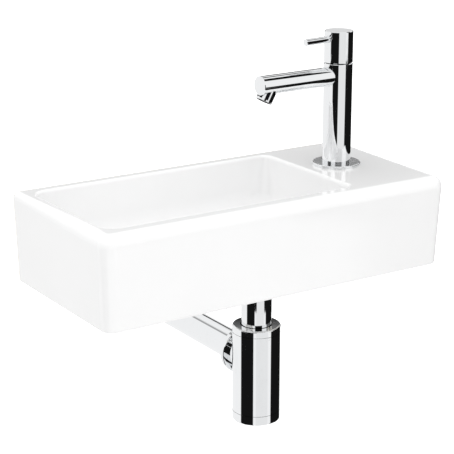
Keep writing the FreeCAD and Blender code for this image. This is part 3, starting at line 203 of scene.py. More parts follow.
class ThreadSettings(bpy.types.PropertyGroup):
    """The cut threads and the nuts' corners."""

    bolt_pitch: length_setting("Bolt pitch", "Rise of one turn on the wall bolts' machine thread", 0.00125)
    wood_pitch: length_setting("Wood pitch", "Rise of one turn on the stretch inside the wall", 0.0032)
    wood_core: length_setting("Wood core", "Core radius of the stretch inside the wall", 0.0031)
    bolt_spacing: length_setting("Bolt spacing", "Distance between the two wall bolts", 0.2)
    shank_pitch: length_setting("Shank pitch", "Rise of one turn on the tap's shank", 0.0018)
    tail_pitch: length_setting("Tail pitch", "Rise of one turn on the supply tail", 0.00134)
    waste_pitch: length_setting("Waste pitch", "Rise of one turn on the waste's tail", 0.0023)
    chamfer: FloatProperty(name="Nut chamfer", description="Slope of the cone that breaks a nut's corners",
                           default=math.radians(30.0), min=0.0, max=math.radians(60.0), subtype="ANGLE",
                           unit="ROTATION")


class StudioSettings(bpy.types.PropertyGroup):
    """Floor, lamp, surroundings and camera."""

    floor: colour_setting("Floor", "Colour of the floor", (0.82, 0.82, 0.82, 1.0))
    floor_drop: length_setting("Floor below", "How far the floor lies below the wall bolts", 0.772, high=3.0)
    floor_lift: share_setting("Floor lift", "Light that the floor adds to its own shade in the camera", 0.62)
    ambient: FloatProperty(name="Ambient", description="Strength of the light from the sides and below",
                           default=0.72, min=0.0, max=5.0)
    sky: FloatProperty(name="Sky", description="Strength of the light from above", default=1.41, min=0.0, max=5.0)
    lean_high: share_setting("High lean", "How much more of the light from above comes from the left", 0.6)
    lean_low: share_setting("Low lean", "How much less of the light from below comes from the left", 0.4)
    front_lamp: FloatProperty(name="Front lamp", description="Power of the large lamp before the basin",
                              default=5.2, min=0.0, max=500.0, subtype="POWER", unit="POWER")
    camera_place: FloatVectorProperty(name="Camera place", description="Where the camera stands",
                                      default=(-0.8084, -1.3275, 0.4773), size=3, subtype="TRANSLATION",
                                      unit="LENGTH")
    camera_aim: FloatVectorProperty(name="Camera aim", description="The point that the camera looks at",
                                    default=(-0.00674, -0.09, 0.03324), size=3, subtype="TRANSLATION",
                                    unit="LENGTH")
    camera_lens: FloatProperty(name="Lens", description="Focal length", default=120.6, min=10.0, max=500.0,
                               subtype="DISTANCE_CAMERA", unit="CAMERA")


GROUPS = {
    "hand_basin_glaze": GlazeSettings,
    "hand_basin_chrome": ChromeSettings,
    "hand_basin_inner": InnerSettings,
    "hand_basin_threads": ThreadSettings,
    "hand_basin_studio": StudioSettings,
}


# Shader maths -------------------------------------------------------------------------------------


class Socket:
    """A node's output. Plain arithmetic on it adds the Math nodes that work it out."""

    def __init__(self, nodes, output):
        self.nodes = nodes
        self.output = output

    def maths(self, operation, *values):
        """One Math node on those values."""
        return self.nodes.add("ShaderNodeMath", {"operation": operation}, dict(enumerate(values)))

    def __add__(self, other):
        return self.maths("ADD", self, other)

    def __radd__(self, other):
        return self.maths("ADD", other, self)

    def __sub__(self, other):
        return self.maths("SUBTRACT", self, other)

    def __rsub__(self, other):
        return self.maths("SUBTRACT", other, self)

    def __mul__(self, other):
        return self.maths("MULTIPLY", self, other)

    def __rmul__(self, other):
        return self.maths("MULTIPLY", other, self)

    def __abs__(self):
        return self.maths("ABSOLUTE", self)

    def highest(self, other):
        """The larger of the two."""
        return self.maths("MAXIMUM", self, other)

    def step(self, start, end):
        """0 at start, 1 at end and a soft step between them."""
        settings = {"interpolation_type": "SMOOTHSTEP", "clamp": True}
        return self.nodes.add("ShaderNodeMapRange", settings, {"Value": self, 1: start, 2: end})


class Nodes:
    """The nodes of one material or of the world."""

    def __init__(self, tree):
        self.tree = tree
        tree.nodes.clear()

    def add(self, kind, settings, inputs, output=0):
        """A node of that type with its settings made first, then its sockets' values or links."""
        node = self.tree.nodes.new(kind)
        for name, value in settings.items():
            setattr(node, name, value)
        for name, value in inputs.items():
            if isinstance(value, Socket):
                self.tree.links.new(value.output, node.inputs[name])
            else:
                node.inputs[name].default_value = value
        return Socket(self, node.outputs[output]) if node.outputs else node

    def place(self):
        """Object coordinates in metres."""
        return self.add("ShaderNodeTexCoord", {}, {}, "Object")

    def axes(self, vector):
        """A vector's three parts."""
        parts = self.add("ShaderNodeSeparateXYZ", {}, {"Vector": vector}).output.node.outputs
        return [Socket(self, part) for part in parts]

    def noise(self, place, scale, detail=3.0, roughness=0.5):
        """Soft noise from about 0.25 to 0.75; scale is in waves per metre."""
        return self.add("ShaderNodeTexNoise", {}, {"Vector": place, "Scale": scale, "Detail": detail,
                                                   "Roughness": roughness})

    def cells(self, place, scale, feature="F1"):
        """Distance to the nearest of a scatter of points; scale is in points per metre."""
        return self.add("ShaderNodeTexVoronoi", {"feature": feature}, {"Vector": place, "Scale": scale})

    def vector(self, operation, *values, output=0):
        """One Vector Math node on those values."""
        return self.add("ShaderNodeVectorMath", {"operation": operation}, dict(enumerate(values)), output)

    def stretched(self, place, factors):
        """Coordinates scaled along each axis."""
        return self.vector("MULTIPLY", place, factors)

    def from_axis(self, place, point, way):
        """Distance from the line through point along the unit vector way: the length of their cross product."""
        return self.vector("LENGTH", self.vector("CROSS_PRODUCT", self.vector("SUBTRACT", place, point), way),
                           output="Value")

    def blend(self, share, first, second):
        """A colour that goes from first to second as share goes from 0 to 1."""
        return self.add("ShaderNodeMix", {"data_type": "RGBA"}, {0: share, 6: first, 7: second}, 2)

    def bump(self, height, distance, normal=None):
        """A normal from a height of 0 to 1 that stands for that distance."""
        inputs = {"Height": height, "Distance": distance, "Strength": 1.0}
        if normal is not None:
            inputs["Normal"] = normal
        return self.add("ShaderNodeBump", {}, inputs)

    def shader(self, **inputs):
        """The surface shader and the output."""
        named = {name.replace("_", " "): value for name, value in inputs.items()}
        surface = self.add("ShaderNodeBsdfPrincipled", {}, named)
        self.add("ShaderNodeOutputMaterial", {}, {"Surface": surface})


def new_material(name):
    """An empty material and its nodes."""
    material = bpy.data.materials.new(name)
    material.use_nodes = True
    return material, Nodes(material.node_tree)


def darker(colour, share):
    """A colour scaled down by share, with its alpha kept."""
    return tuple(part * (1.0 - share) for part in colour[:3]) + (colour[3],)


def dress(material, *names):
    """Gives CAD nodes a material in all their slots."""
    for name in names:
        for slot in frame["nodes"][name].material_slots:
            slot.material = material


def shared(finish, settings):
    """The material that a finish makes, made the first time only. Each finish names its material as itself."""
    return bpy.data.materials.get(finish.__name__) or finish(settings)


# Finishes -----------------------------------------------------------------------------------------


def fired_glaze(settings):
    """Glossy glaze that sags a little, thin in the hollow, wiped off at the foot and at the wall."""
    material, nodes = new_material("fired_glaze")
    place = nodes.place()
    x, y, z = nodes.axes(place)
    ragged = (nodes.noise(place, 220.0, 4.0) - 0.5) * EDGE_WANDER
    foot = 1.0 - (z + ragged * 0.15).step(BASIN_LOW.z + settings.bare_foot * 0.6, BASIN_LOW.z + settings.bare_foot)
    wall = (y + ragged).step(*BACK_BAND)
    inner_x = (BASIN_HIGH.x - abs(x)).step(*SKIRT_INSIDE)
    inner_y = (y - BASIN_LOW.y).step(*SKIRT_INSIDE) * (1.0 - y.step(*REAR_INSIDE))
    under_bowl = 1.0 - z.step(*BOWL_FOOT)
    under_deck = x.step(*DECK_SIDE) * (1.0 - z.step(*DECK_FOOT))
    hollow = inner_x * inner_y * under_bowl.highest(under_deck)
    bare = foot.highest(wall)
    thin = hollow * nodes.noise(place, 45.0).step(0.38, 0.62)
    cloud = nodes.noise(place, 12.0, 2.0)
    glazed = nodes.blend(cloud.step(0.3, 0.7), settings.colour, darker(settings.colour, 0.012))
    thinned = nodes.blend(thin * 0.6, glazed, THIN_GLAZE)
    speckle = nodes.noise(place, 900.0, 2.0).step(0.42, 0.7)
    clay = nodes.blend(speckle, settings.clay, darker(settings.clay, 0.16))
    colour = nodes.blend(bare, thinned, clay)
    smooth = settings.roughness + nodes.noise(place, 60.0, 2.0).step(0.45, 0.8) * 0.02 + thin * 0.16
    roughness = smooth * (1.0 - bare) + bare * 0.78
    sag = nodes.bump(nodes.noise(place, 26.0, 1.0), settings.sag)
    peel = nodes.bump(nodes.noise(place, 520.0, 1.0), GLAZE_PEEL, sag)
    grain = nodes.bump(nodes.noise(place, 2400.0, 3.0) * bare, settings.grain, peel)
    nodes.shader(Base_Color=colour, Roughness=roughness, Normal=grain, IOR=1.52)
    return material


def polished_chrome(settings, name="polished_chrome", paint_slot_shade=False, satin=0.0):
    """Bright plating with a polisher's ripple, finger smudges and a few dried drops.

    A piece with painted slot shade is painted black and rougher nearer its axis than the slot floor, as painted shade
    in its slots. Satin adds roughness all over.
    """
    material, nodes = new_material(name)
    place = nodes.place()
    smudge = nodes.noise(nodes.stretched(place, (1.0, 1.0, 0.45)), 70.0, 4.0, 0.6).step(0.5, 0.72)
    drop = nodes.cells(place, 160.0)
    rare = nodes.noise(place, 38.0, 1.0).step(0.6, 0.68)
    ring = drop.step(0.16, 0.2) * (1.0 - drop.step(0.21, 0.26)) * rare
    streak = nodes.noise(nodes.stretched(place, (1.0, 1.0, 0.12)), 900.0, 2.0)
    roughness = satin + settings.roughness + smudge * settings.smudge + ring * 0.12 + streak.step(0.5, 0.9) * 0.015
    colour = nodes.blend(smudge * 0.5 + ring * 0.5, settings.colour, darker(settings.colour, 0.05))
    # Painted shade: black painted on the slot floors, where the grooves would lie in shade.
    if paint_slot_shade:
        away = nodes.from_axis(place, tuple(settings.slot_place), tuple(settings.slot_way))
        inside = 1.0 - away.step(settings.slot_floor - 0.3 * MM, settings.slot_floor)
        colour = nodes.blend(inside, colour, SLOT_SHADE_BLACK)
        roughness = roughness + inside * 0.4
    ripple = nodes.bump(nodes.noise(place, 55.0, 1.0), settings.ripple)
    lines = nodes.bump(streak, CHROME_LINES, ripple)
    nodes.shader(Base_Color=colour, Metallic=1.0, Roughness=roughness, Normal=lines)
    return material


def turned_brass(settings):
    """Bare brass with tool marks round the axis, dull patches and dark grease under the tap's cap."""
    material, nodes = new_material("turned_brass")
    place = nodes.place()
    marks = nodes.noise(nodes.stretched(place, (0.05, 0.05, 1.0)), 5200.0, 2.0)
    dull = nodes.noise(place, 90.0, 4.0).step(0.42, 0.68)
    bare = nodes.blend(dull * 0.7, settings.brass, OLD_BRASS)
    _, _, height = nodes.axes(place)
    grease = height.step(COLUMN_TOP - 0.8 * MM, COLUMN_TOP - 0.3 * MM) * (
        1.0 - height.step(CAP_FOOT + 0.3 * MM, CAP_FOOT + 1.2 * MM))
    colour = nodes.blend(grease, bare, GREASE)
    roughness = 0.2 + dull * 0.2 + marks.step(0.4, 0.8) * 0.08 + grease * 0.3
    normal = nodes.bump(marks, BRASS_MARKS)
    nodes.shader(Base_Color=colour, Metallic=1.0, Roughness=roughness, Normal=normal)
    return material


def zinc_plate(settings):
    """Zinc plated steel: a patchy grey with a faint yellow and blue cast."""
    material, nodes = new_material("zinc_plate")
    place = nodes.place()
    patches = nodes.cells(place, 420.0, "SMOOTH_F1").step(0.1, 0.6)
    cast = nodes.noise(place, 130.0, 3.0)
    tinted = nodes.blend(cast.step(0.35, 0.65), YELLOW_CAST, BLUE_CAST)
    colour = nodes.blend(patches * 0.6, settings.zinc, tinted)
    worn = nodes.noise(place, 320.0, 4.0).step(0.5, 0.7)
    roughness = 0.26 + patches * 0.1 + worn * 0.14
    normal = nodes.bump(nodes.noise(place, 2600.0, 3.0), ZINC_GRAIN)
    nodes.shader(Base_Color=colour, Metallic=1.0, Roughness=roughness, Normal=normal)
    return material


def seal_rubber(settings):
    """Moulded black rubber with a bloom of pale dust."""
    material, nodes = new_material("seal_rubber")
    place = nodes.place()
    bloom = nodes.noise(place, 150.0, 4.0).step(0.42, 0.74)
    colour = nodes.blend(bloom * 0.5, darker(settings.rubber, 0.4), RUBBER_DUST)
    normal = nodes.bump(nodes.noise(place, 3200.0, 3.0), RUBBER_GRAIN)
    nodes.shader(Base_Color=colour, Roughness=0.55 + bloom * 0.2, Normal=normal)
    return material


def moulded_plastic(name, colour, shift):
    """Moulded plastic with flow marks and a fine eroded grain."""
    material, nodes = new_material(name)
    place = nodes.place()
    flow = nodes.noise(nodes.stretched(place, (1.0, 1.0, 0.3)), 110.0, 3.0).step(0.35, 0.7)
    grain = nodes.noise(place, 3800.0, 2.0)
    tone = nodes.blend(flow, colour, darker(colour, shift))
    nodes.shader(Base_Color=tone, Roughness=0.36 + flow * 0.1 + grain.step(0.3, 0.8) * 0.06,
                 Normal=nodes.bump(grain, PLASTIC_GRAIN))
    return material


def lapped_disc(settings):
    """Dense valve ceramic, lapped flat, with faint circular scores."""
    material, nodes = new_material("lapped_disc")
    place = nodes.place()
    scores = nodes.noise(place, 4200.0, 2.0)
    cloud = nodes.noise(place, 240.0, 3.0).step(0.35, 0.7)
    tone = nodes.blend(cloud, settings.disc, darker(settings.disc, 0.06))
    nodes.shader(Base_Color=tone, Roughness=0.16 + scores.step(0.5, 0.8) * 0.12,
                 Normal=nodes.bump(scores, DISC_SCORES))
    return material


# Surfaces -----------------------------------------------------------------------------------------


def circle(columns):
    """Evenly spaced angles of one turn, as one row."""
    return (np.arange(columns) * FULL_TURN / columns)[None, :]


def grid_faces(rows, columns, closed_profile):
    """Four corner indices for each cell of a grid whose columns, and rows if asked, join end to end."""
    spans = rows if closed_profile else rows - 1
    row, column = np.meshgrid(np.arange(spans), np.arange(columns), indexing="ij")
    following, beside = (row + 1) % rows, (column + 1) % columns
    corners = [row * columns + column, row * columns + beside, following * columns + beside,
               following * columns + column]
    return np.stack(corners, axis=-1).reshape(-1, 4)


def new_piece(name, parts, material):
    """One mesh from several grids of points.

    Each part is (points, closed_profile): points has one row per place along the profile and one column
    per angle. A closed profile runs up the outside and back down the bore. An open one starts and ends on
    its axis, where each end row closes on one pole.
    """
    vertices, faces, start = [], [], 0
    for points, closed_profile in parts:
        rows, columns = points.shape[:2]
        vertices.append(points.reshape(-1, 3))
        faces += (grid_faces(rows, columns, closed_profile) + start).tolist()
        count = rows * columns
        if not closed_profile:
            ring = np.arange(columns)
            beside = (ring + 1) % columns
            low, high = start + count, start + count + 1
            last = start + (rows - 1) * columns
            vertices.append(np.stack([points[0].mean(axis=0), points[-1].mean(axis=0)]))
            low_fan = np.stack([np.full(columns, low), start + beside, start + ring], axis=-1)
            high_fan = np.stack([np.full(columns, high), last + ring, last + beside], axis=-1)
            faces += low_fan.tolist() + high_fan.tolist()
            count += 2
        start += count
    mesh = bpy.data.meshes.new(name)
    mesh.from_pydata(np.concatenate(vertices).tolist(), [], faces)
    mesh.materials.append(material)
    mesh.update()
    mesh.validate()
    piece = bpy.data.objects.new(name, mesh)
    bpy.context.scene.collection.objects.link(piece)
    return piece


def smooth_shade(piece, angle=math.radians(40.0)):
    """Smooth shading that keeps the edges sharper than the angle."""
    piece.data.polygons.foreach_set("use_smooth", np.ones(len(piece.data.polygons), bool))
    piece.data.set_sharp_from_angle(angle=angle)
    piece.data.update()


def profile_points(corners, step):
    """Points along a chain of straight runs, no further apart than step.

    Each run from corner a to corner b gives a + (b - a) t for evenly spaced t from 0 up to, not including, 1.
    """
    corners = np.asarray(corners, float)
    runs = []
    for start, end in zip(corners[:-1], corners[1:]):
        count = max(1, int(math.ceil(np.linalg.norm(end - start) / step)))
        runs.append(start + (end - start) * (np.arange(count) / count)[:, None])
    runs.append(corners[-1:])
    return np.concatenate(runs)


def turned(radius, height, angle):
    """Points at (radius cos angle, radius sin angle, height)."""
    return np.stack([radius * np.cos(angle), radius * np.sin(angle), height + 0.0 * angle], axis=-1)


def v_ridge(phase, crest=0.125, root=0.25):
    """1 on a V thread's crest and 0 at its root: the distance from the middle of the groove, cut off flat."""
    away = np.abs(phase - np.floor(phase) - 0.5) * 2.0
    return np.clip((away - root) / (1.0 - crest - root), 0.0, 1.0)


def helix_phase(height, angle, pitch):
    """Turns of a right-hand helix: height over pitch, less the share of the turn."""
    return height / pitch - angle / FULL_TURN


def on_wall(radius, wall, reach):
    """True where a profile runs within reach of a wall's radius, false elsewhere."""
    return (radius > wall - reach) * (radius < wall + reach)


def lay_along_y(points):
    """Turns +Z to +Y: (x, y, z) goes to (x, z, -y)."""
    return np.stack([points[..., 0], points[..., 2], -points[..., 1]], axis=-1)


def hexagon_radius(angle, flats):
    """Distance from the centre to a hexagon's side: half its flats over the cosine of the angle off the side."""
    sixth = FULL_TURN / 6.0
    off_side = (angle % sixth) - sixth / 2.0
    return flats / 2.0 / np.cos(off_side)


def nut_points(flats, low, high, bore, slope, pitch, columns):
    """A hexagon nut about Z.

    The outside is the lesser of the hexagon and, near each face, a cone that starts inside the flats. The
    bore is a V thread whose crests stand inwards. The profile runs up the outside and down the bore.
    """
    face = flats / 2.0 * NUT_FACE
    corner = flats / math.sqrt(3.0)
    height = low + (high - low) * (0.5 - 0.5 * np.cos(np.linspace(0.0, math.pi, NUT_ROWS)))
    down = np.linspace(high, low, max(NUT_BORE_ROWS, int((high - low) / pitch * NUT_ROWS_PER_PITCH)))
    angle = circle(columns)
    rise = np.minimum(height - low, high - height)[:, None]
    cone = face + rise / math.tan(slope)
    outside = np.minimum(hexagon_radius(angle, flats), np.minimum(cone, corner))
    depth = NUT_THREAD_DEPTH * pitch
    ridge = v_ridge(helix_phase(down[:, None], angle, pitch))
    mouth = np.clip(1.0 - np.minimum(down - low, high - down) / (NUT_MOUTH * pitch), 0.0, 1.0)[:, None]
    inside = bore + depth * (1.0 - ridge) * (1.0 - mouth) + depth * mouth
    radius = np.concatenate([outside, inside])
    return turned(radius, np.concatenate([height, down])[:, None], angle)


def rounded_bar(half_length, half_width, half_height):
    """A bar along x. Its section has y and z at the fourth root of |cos| and |sin|, with their signs."""
    angle = circle(BAR_COLUMNS)
    along = np.linspace(-half_length, half_length, BAR_ROWS)[:, None]
    wide = half_width * np.sign(np.cos(angle)) * np.abs(np.cos(angle)) ** 0.25
    tall = half_height * np.sign(np.sin(angle)) * np.abs(np.sin(angle)) ** 0.25
    return np.stack([along + 0.0 * angle, wide + 0.0 * along, tall + 0.0 * along], axis=-1)


def shifted(points, x=0.0, y=0.0, z=0.0):
    """Points with x, y and z added."""
    return points + np.array([x, y, z])


# Operators ----------------------------------------------------------------------------------------


class FinishBasin(bpy.types.Operator):
    """Glazes the basin and leaves its foot and back bare."""

    bl_idname = "hand_basin.finish_basin"
    bl_label = "Finish the basin"

    def execute(self, context):
        dress(shared(fired_glaze, context.scene.hand_basin_glaze), "basin")
        return {"FINISHED"}


class FinishChrome(bpy.types.Operator):
    """Plates the tap, the grid and the trap."""

    bl_idname = "hand_basin.finish_chrome"
    bl_label = "Finish the chrome pieces"

    def execute(self, context):
        settings = context.scene.hand_basin_chrome
        dress(shared(polished_chrome, settings), "tap_column", "spout_tube", "spout_end_plug", "handle_cap",
              "lever_pin", "waste_grid", "waste_grid_screw", "inlet_nut", "inlet_pipe", "bottle_cap", "bottle_body",
              "cleaning_cap", "outlet_nut", "wall_pipe")
        # The aerator's housing gets painted shade in its slots.
        dress(polished_chrome(settings, "chrome_with_painted_slot_shade", paint_slot_shade=True), "aerator_housing")
        dress(polished_chrome(settings, "satin_chrome", satin=settings.satin), "tap_rosette")
        return {"FINISHED"}


class FinishValve(bpy.types.Operator):
    """Gives the valve its brass and its discs, and the screw and steel washers their zinc."""

    bl_idname = "hand_basin.finish_valve"
    bl_label = "Finish the valve"

    def execute(self, context):
        settings = context.scene.hand_basin_inner
        dress(shared(turned_brass, settings), "cartridge_body", "spindle")
        dress(shared(lapped_disc, settings), "fixed_disc", "turning_disc")
        dress(shared(zinc_plate, settings), "cap_screw", "fixing_washers", "shank_steel_washer")
        return {"FINISHED"}


class FinishSeals(bpy.types.Operator):
    """Gives the seals their rubber, and the sleeves, slip washer, back nut and insert their plastic."""

    bl_idname = "hand_basin.finish_seals"
    bl_label = "Finish the seals and plastic pieces"

    def execute(self, context):
        settings = context.scene.hand_basin_inner
        dress(shared(seal_rubber, settings), "rosette_seal", "aerator_seal", "cartridge_seal",
              "shank_rubber_washer", "waste_top_seal", "waste_bottom_seal", "inlet_gasket", "bottle_cap_seal",
              "cleaning_cap_ring", "outlet_seal")
        dress(moulded_plastic("sleeve_plastic", settings.white, 0.05), "fixing_sleeves", "waste_slip_washer")
        dress(moulded_plastic("nut_plastic", settings.grey, 0.2), "waste_backnut", "aerator_insert")
        return {"FINISHED"}


class ThreadWallBolts(bpy.types.Operator):
    """Makes the two wall bolts with a machine thread in the room and a wood thread in the wall."""

    bl_idname = "hand_basin.thread_wall_bolts"
    bl_label = "Thread the wall bolts"

    def execute(self, context):
        settings = context.scene.hand_basin_threads
        low, high = BOLTS_LOW.y, BOLTS_HIGH.y
        end_cut, neck, run_in_length, point_length = 0.8 * MM, 1.0 * MM, 3.0 * MM, 6.0 * MM
        neck_taper = 0.06
        wood_radius = (BOLTS_HIGH.x - BOLTS_LOW.x - settings.bolt_spacing) / 2.0
        bolt_radius = wood_radius / WOOD_OVER_BOLT
        angle = circle(40)
        height = np.concatenate([np.arange(low, 0.0, settings.bolt_pitch / BOLT_ROWS_PER_PITCH),
                                 np.arange(0.0, high, settings.wood_pitch / WOOD_ROWS_PER_PITCH), [high]])[:, None]
        # The machine thread is the bolt's radius less a V groove, with a bevel at its end. The neck between the
        # two threads tapers a little to both its ends.
        machine = bolt_radius - THREAD_DEPTH * settings.bolt_pitch * (
            1.0 - v_ridge(helix_phase(height, angle, settings.bolt_pitch)))
        machine = np.minimum(machine, bolt_radius - end_cut + (height - low))
        plain = bolt_radius * (1.0 - neck_taper * np.abs(height) / MM)
        # The wood thread is a core plus one thin blade a turn. It rises over the run-in and shrinks over the point.
        wood_phase = helix_phase(height, angle, settings.wood_pitch)
        blade = np.clip(1.0 - np.abs(wood_phase - np.floor(wood_phase) - 0.5) / HALF_BLADE, 0.0, 1.0)
        point = np.clip((high - height) / point_length, 0.0, 1.0)
        run_in = np.clip(height / run_in_length, 0.0, 1.0)
        core = settings.wood_core + (bolt_radius - settings.wood_core) * (1.0 - run_in)
        wood = (core + (wood_radius - settings.wood_core) * blade * run_in * np.sqrt(point)) * point
        wood = np.minimum(wood, wood_radius)
        radius = np.where(height < -neck, machine, np.where(height < neck, plain, wood))
        points = lay_along_y(turned(radius, height, angle))
        parts = [(shifted(points, x=side * settings.bolt_spacing / 2.0), False) for side in (-1, 1)]
        material = shared(zinc_plate, context.scene.hand_basin_inner)
        bolts = new_piece("threaded_wall_bolts", parts, material)
        smooth_shade(bolts)
        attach(bolts, ROOT_BODY)
        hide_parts("wall_bolts")
        return {"FINISHED"}


class ChamferFixingNuts(bpy.types.Operator):
    """Makes the two wall nuts with broken corners and threaded bores."""

    bl_idname = "hand_basin.chamfer_fixing_nuts"
    bl_label = "Chamfer the wall nuts"

    def execute(self, context):
        settings = context.scene.hand_basin_threads
        flats, bore = NUTS_HIGH.z - NUTS_LOW.z, 4.05 * MM
        points = nut_points(flats, NUTS_LOW.y, NUTS_HIGH.y, bore, settings.chamfer, settings.bolt_pitch, 96)
        points = lay_along_y(points)
        parts = [(shifted(points, x=side * settings.bolt_spacing / 2.0), True) for side in (-1, 1)]
        material = shared(zinc_plate, context.scene.hand_basin_inner)
        nuts = new_piece("chamfered_fixing_nuts", parts, material)
        smooth_shade(nuts, NUT_SHARP_ANGLE)
        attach(nuts, ROOT_BODY)
        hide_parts("fixing_nuts")
        return {"FINISHED"}


class ThreadTapShank(bpy.types.Operator):
    """Makes the tap's shank with its long thread, its narrower supply tail and its bore."""

    bl_idname = "hand_basin.thread_tap_shank"
    bl_label = "Thread the tap's shank"

    def execute(self, context):
        settings = context.scene.hand_basin_threads
        centre = (SHANK_LOW + SHANK_HIGH) / 2.0
        wide = (SHANK_HIGH.x - SHANK_LOW.x) / 2.0
        foot, top = SHANK_LOW.z, SHANK_HIGH.z
        narrow, bore, shoulder = 8.25 * MM, 6.0 * MM, foot + 12.0 * MM
        foot_bevel, shoulder_bevel = 0.6 * MM, 0.8 * MM
        relief_depth, relief_start, relief_floor = 1.0 * MM, shoulder - 0.8 * MM, shoulder - 0.4 * MM
        corners = [(bore, foot), (narrow - foot_bevel, foot), (narrow, foot + foot_bevel), (narrow, relief_start),
                   (narrow - relief_depth, relief_floor), (narrow - relief_depth, shoulder),
                   (wide - shoulder_bevel, shoulder), (wide, shoulder + shoulder_bevel), (wide, top), (bore, top),
                   (bore, foot)]
        # The radius follows the profile, less a V groove on each of the two threaded walls.
        profile = profile_points(corners, 0.17 * MM)[:-1]
        radius, height, angle = profile[:, :1], profile[:, 1:], circle(72)
        tail_cut = 1.0 - v_ridge(helix_phase(height, angle, settings.tail_pitch))
        main_cut = 1.0 - v_ridge(helix_phase(height, angle, settings.shank_pitch))
        on_tail = on_wall(radius, narrow, 0.3 * MM) * (height < shoulder - 0.6 * MM)
        on_main = on_wall(radius, wide, 0.4 * MM) * (height > shoulder + 0.4 * MM) * (height < BASIN_HIGH.z)
        cut = on_tail * tail_cut * THREAD_DEPTH * settings.tail_pitch
        cut = cut + on_main * main_cut * THREAD_DEPTH * settings.shank_pitch
        points = shifted(turned(radius - cut, height, angle), x=centre.x, y=centre.y)
        material = shared(turned_brass, context.scene.hand_basin_inner)
        shank = new_piece("threaded_tap_shank", [(points, True)], material)
        smooth_shade(shank)
        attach(shank, ROOT_BODY)
        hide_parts("tap_shank")
        return {"FINISHED"}


class ChamferBacknut(bpy.types.Operator):
    """Makes the nut that holds the tap down, with broken corners and a threaded bore."""

    bl_idname = "hand_basin.chamfer_backnut"
    bl_label = "Chamfer the tap's back nut"

    def execute(self, context):
        settings = context.scene.hand_basin_threads
        centre = (BACKNUT_LOW + BACKNUT_HIGH) / 2.0
        flats, bore = BACKNUT_HIGH.y - BACKNUT_LOW.y, 10.5 * MM
        points = nut_points(flats, BACKNUT_LOW.z, BACKNUT_HIGH.z, bore, settings.chamfer, settings.shank_pitch, 120)
        points = shifted(points, x=centre.x, y=centre.y)
        material = shared(turned_brass, context.scene.hand_basin_inner)
        nut = new_piece("chamfered_shank_backnut", [(points, True)], material)
        smooth_shade(nut, NUT_SHARP_ANGLE)
        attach(nut, ROOT_BODY)
        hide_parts("shank_backnut")
        return {"FINISHED"}


class ThreadWaste(bpy.types.Operator):
    """Makes the waste's flange, its threaded tail and the bar that the grid's screw bites into."""

    bl_idname = "hand_basin.thread_waste"
    bl_label = "Thread the waste"

    def execute(self, context):
        settings = context.scene.hand_basin_threads
        centre = (WASTE_LOW + WASTE_HIGH) / 2.0
        flange, foot, top = (WASTE_HIGH.x - WASTE_LOW.x) / 2.0, WASTE_LOW.z, WASTE_HIGH.z
        tail, bore, recess, rim = 20.95 * MM, 17.5 * MM, 26.0 * MM, top - 2.5 * MM
        seat, tail_bevel, flange_bevel = top - 1.5 * MM, 0.8 * MM, 0.5 * MM
        corners = [(bore, foot), (tail - tail_bevel, foot), (tail, foot + tail_bevel), (tail, rim), (flange, rim),
                   (flange, top - flange_bevel), (flange - flange_bevel, top), (recess, top), (recess, seat),
                   (bore, seat), (bore, foot)]
        # The radius follows the profile, less a V groove on the tail that fades out below the flange.
        profile = profile_points(corners, 0.2 * MM)[:-1]
        radius, height, angle = profile[:, :1], profile[:, 1:], circle(120)
        on_tail = on_wall(radius, tail, 0.4 * MM) * np.clip((rim - height) / MM - 2.0, 0.0, 1.0)
        groove = 1.0 - v_ridge(helix_phase(height, angle, settings.waste_pitch))
        cut = on_tail * groove * WASTE_THREAD_DEPTH * settings.waste_pitch
        body = shifted(turned(radius - cut, height, angle), x=centre.x, y=centre.y)
        bar = rounded_bar(bore + 0.5 * MM, 3.0 * MM, 2.0 * MM)
        bar = shifted(bar, x=centre.x, y=centre.y, z=top - 14.0 * MM)
        material = shared(polished_chrome, context.scene.hand_basin_chrome)
        waste = new_piece("threaded_waste", [(body, True), (bar, False)], material)
        smooth_shade(waste)
        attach(waste, ROOT_BODY)
        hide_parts("waste_body")
        return {"FINISHED"}


class BuildStudio(bpy.types.Operator):
    """Lays the floor, hangs the lamp, sets the surroundings and places the camera."""

    bl_idname = "hand_basin.build_studio"
    bl_label = "Build the studio"

    def execute(self, context):
        settings = context.scene.hand_basin_studio
        lay_floor(settings)
        hang_lamp(settings)
        set_surroundings(context.scene, settings)
        place_camera(context.scene, settings)
        context.scene.view_settings.view_transform = "Standard"
        return {"FINISHED"}


# Studio -------------------------------------------------------------------------------------------


def lay_floor(settings):
    """A wide disc: rings of points at radius and angle, all at the floor's height."""
    radius = np.array(FLOOR_RADII)[:, None]
    points = turned(radius, np.full_like(radius, -settings.floor_drop), circle(96))
    rows, columns = points.shape[:2]
    mesh = bpy.data.meshes.new("studio_floor")
    faces = grid_faces(rows, columns, False).tolist()
    faces.append(((rows - 1) * columns + np.arange(columns)).tolist())
    mesh.from_pydata(points.reshape(-1, 3).tolist(), [], faces)
    mesh.update()
    floor = bpy.data.objects.new("studio_floor", mesh)
    bpy.context.scene.collection.objects.link(floor)
    material, nodes = new_material("studio_floor")
    place = nodes.place()
    tone = nodes.blend(nodes.noise(place, 1.5, 2.0).step(0.3, 0.7), settings.floor, darker(settings.floor, 0.01))
    diffuse = nodes.add("ShaderNodeBsdfDiffuse", {}, {"Color": tone, "Roughness": 0.0})
    path = nodes.add("ShaderNodeLightPath", {}, {}, "Is Camera Ray")
    lift = nodes.add("ShaderNodeEmission", {}, {"Color": WHITE, "Strength": path * settings.floor_lift})
    both = nodes.add("ShaderNodeAddShader", {}, {0: diffuse, 1: lift})
    nodes.add("ShaderNodeOutputMaterial", {}, {"Surface": both})
    mesh.materials.append(material)
    floor.visible_glossy = False


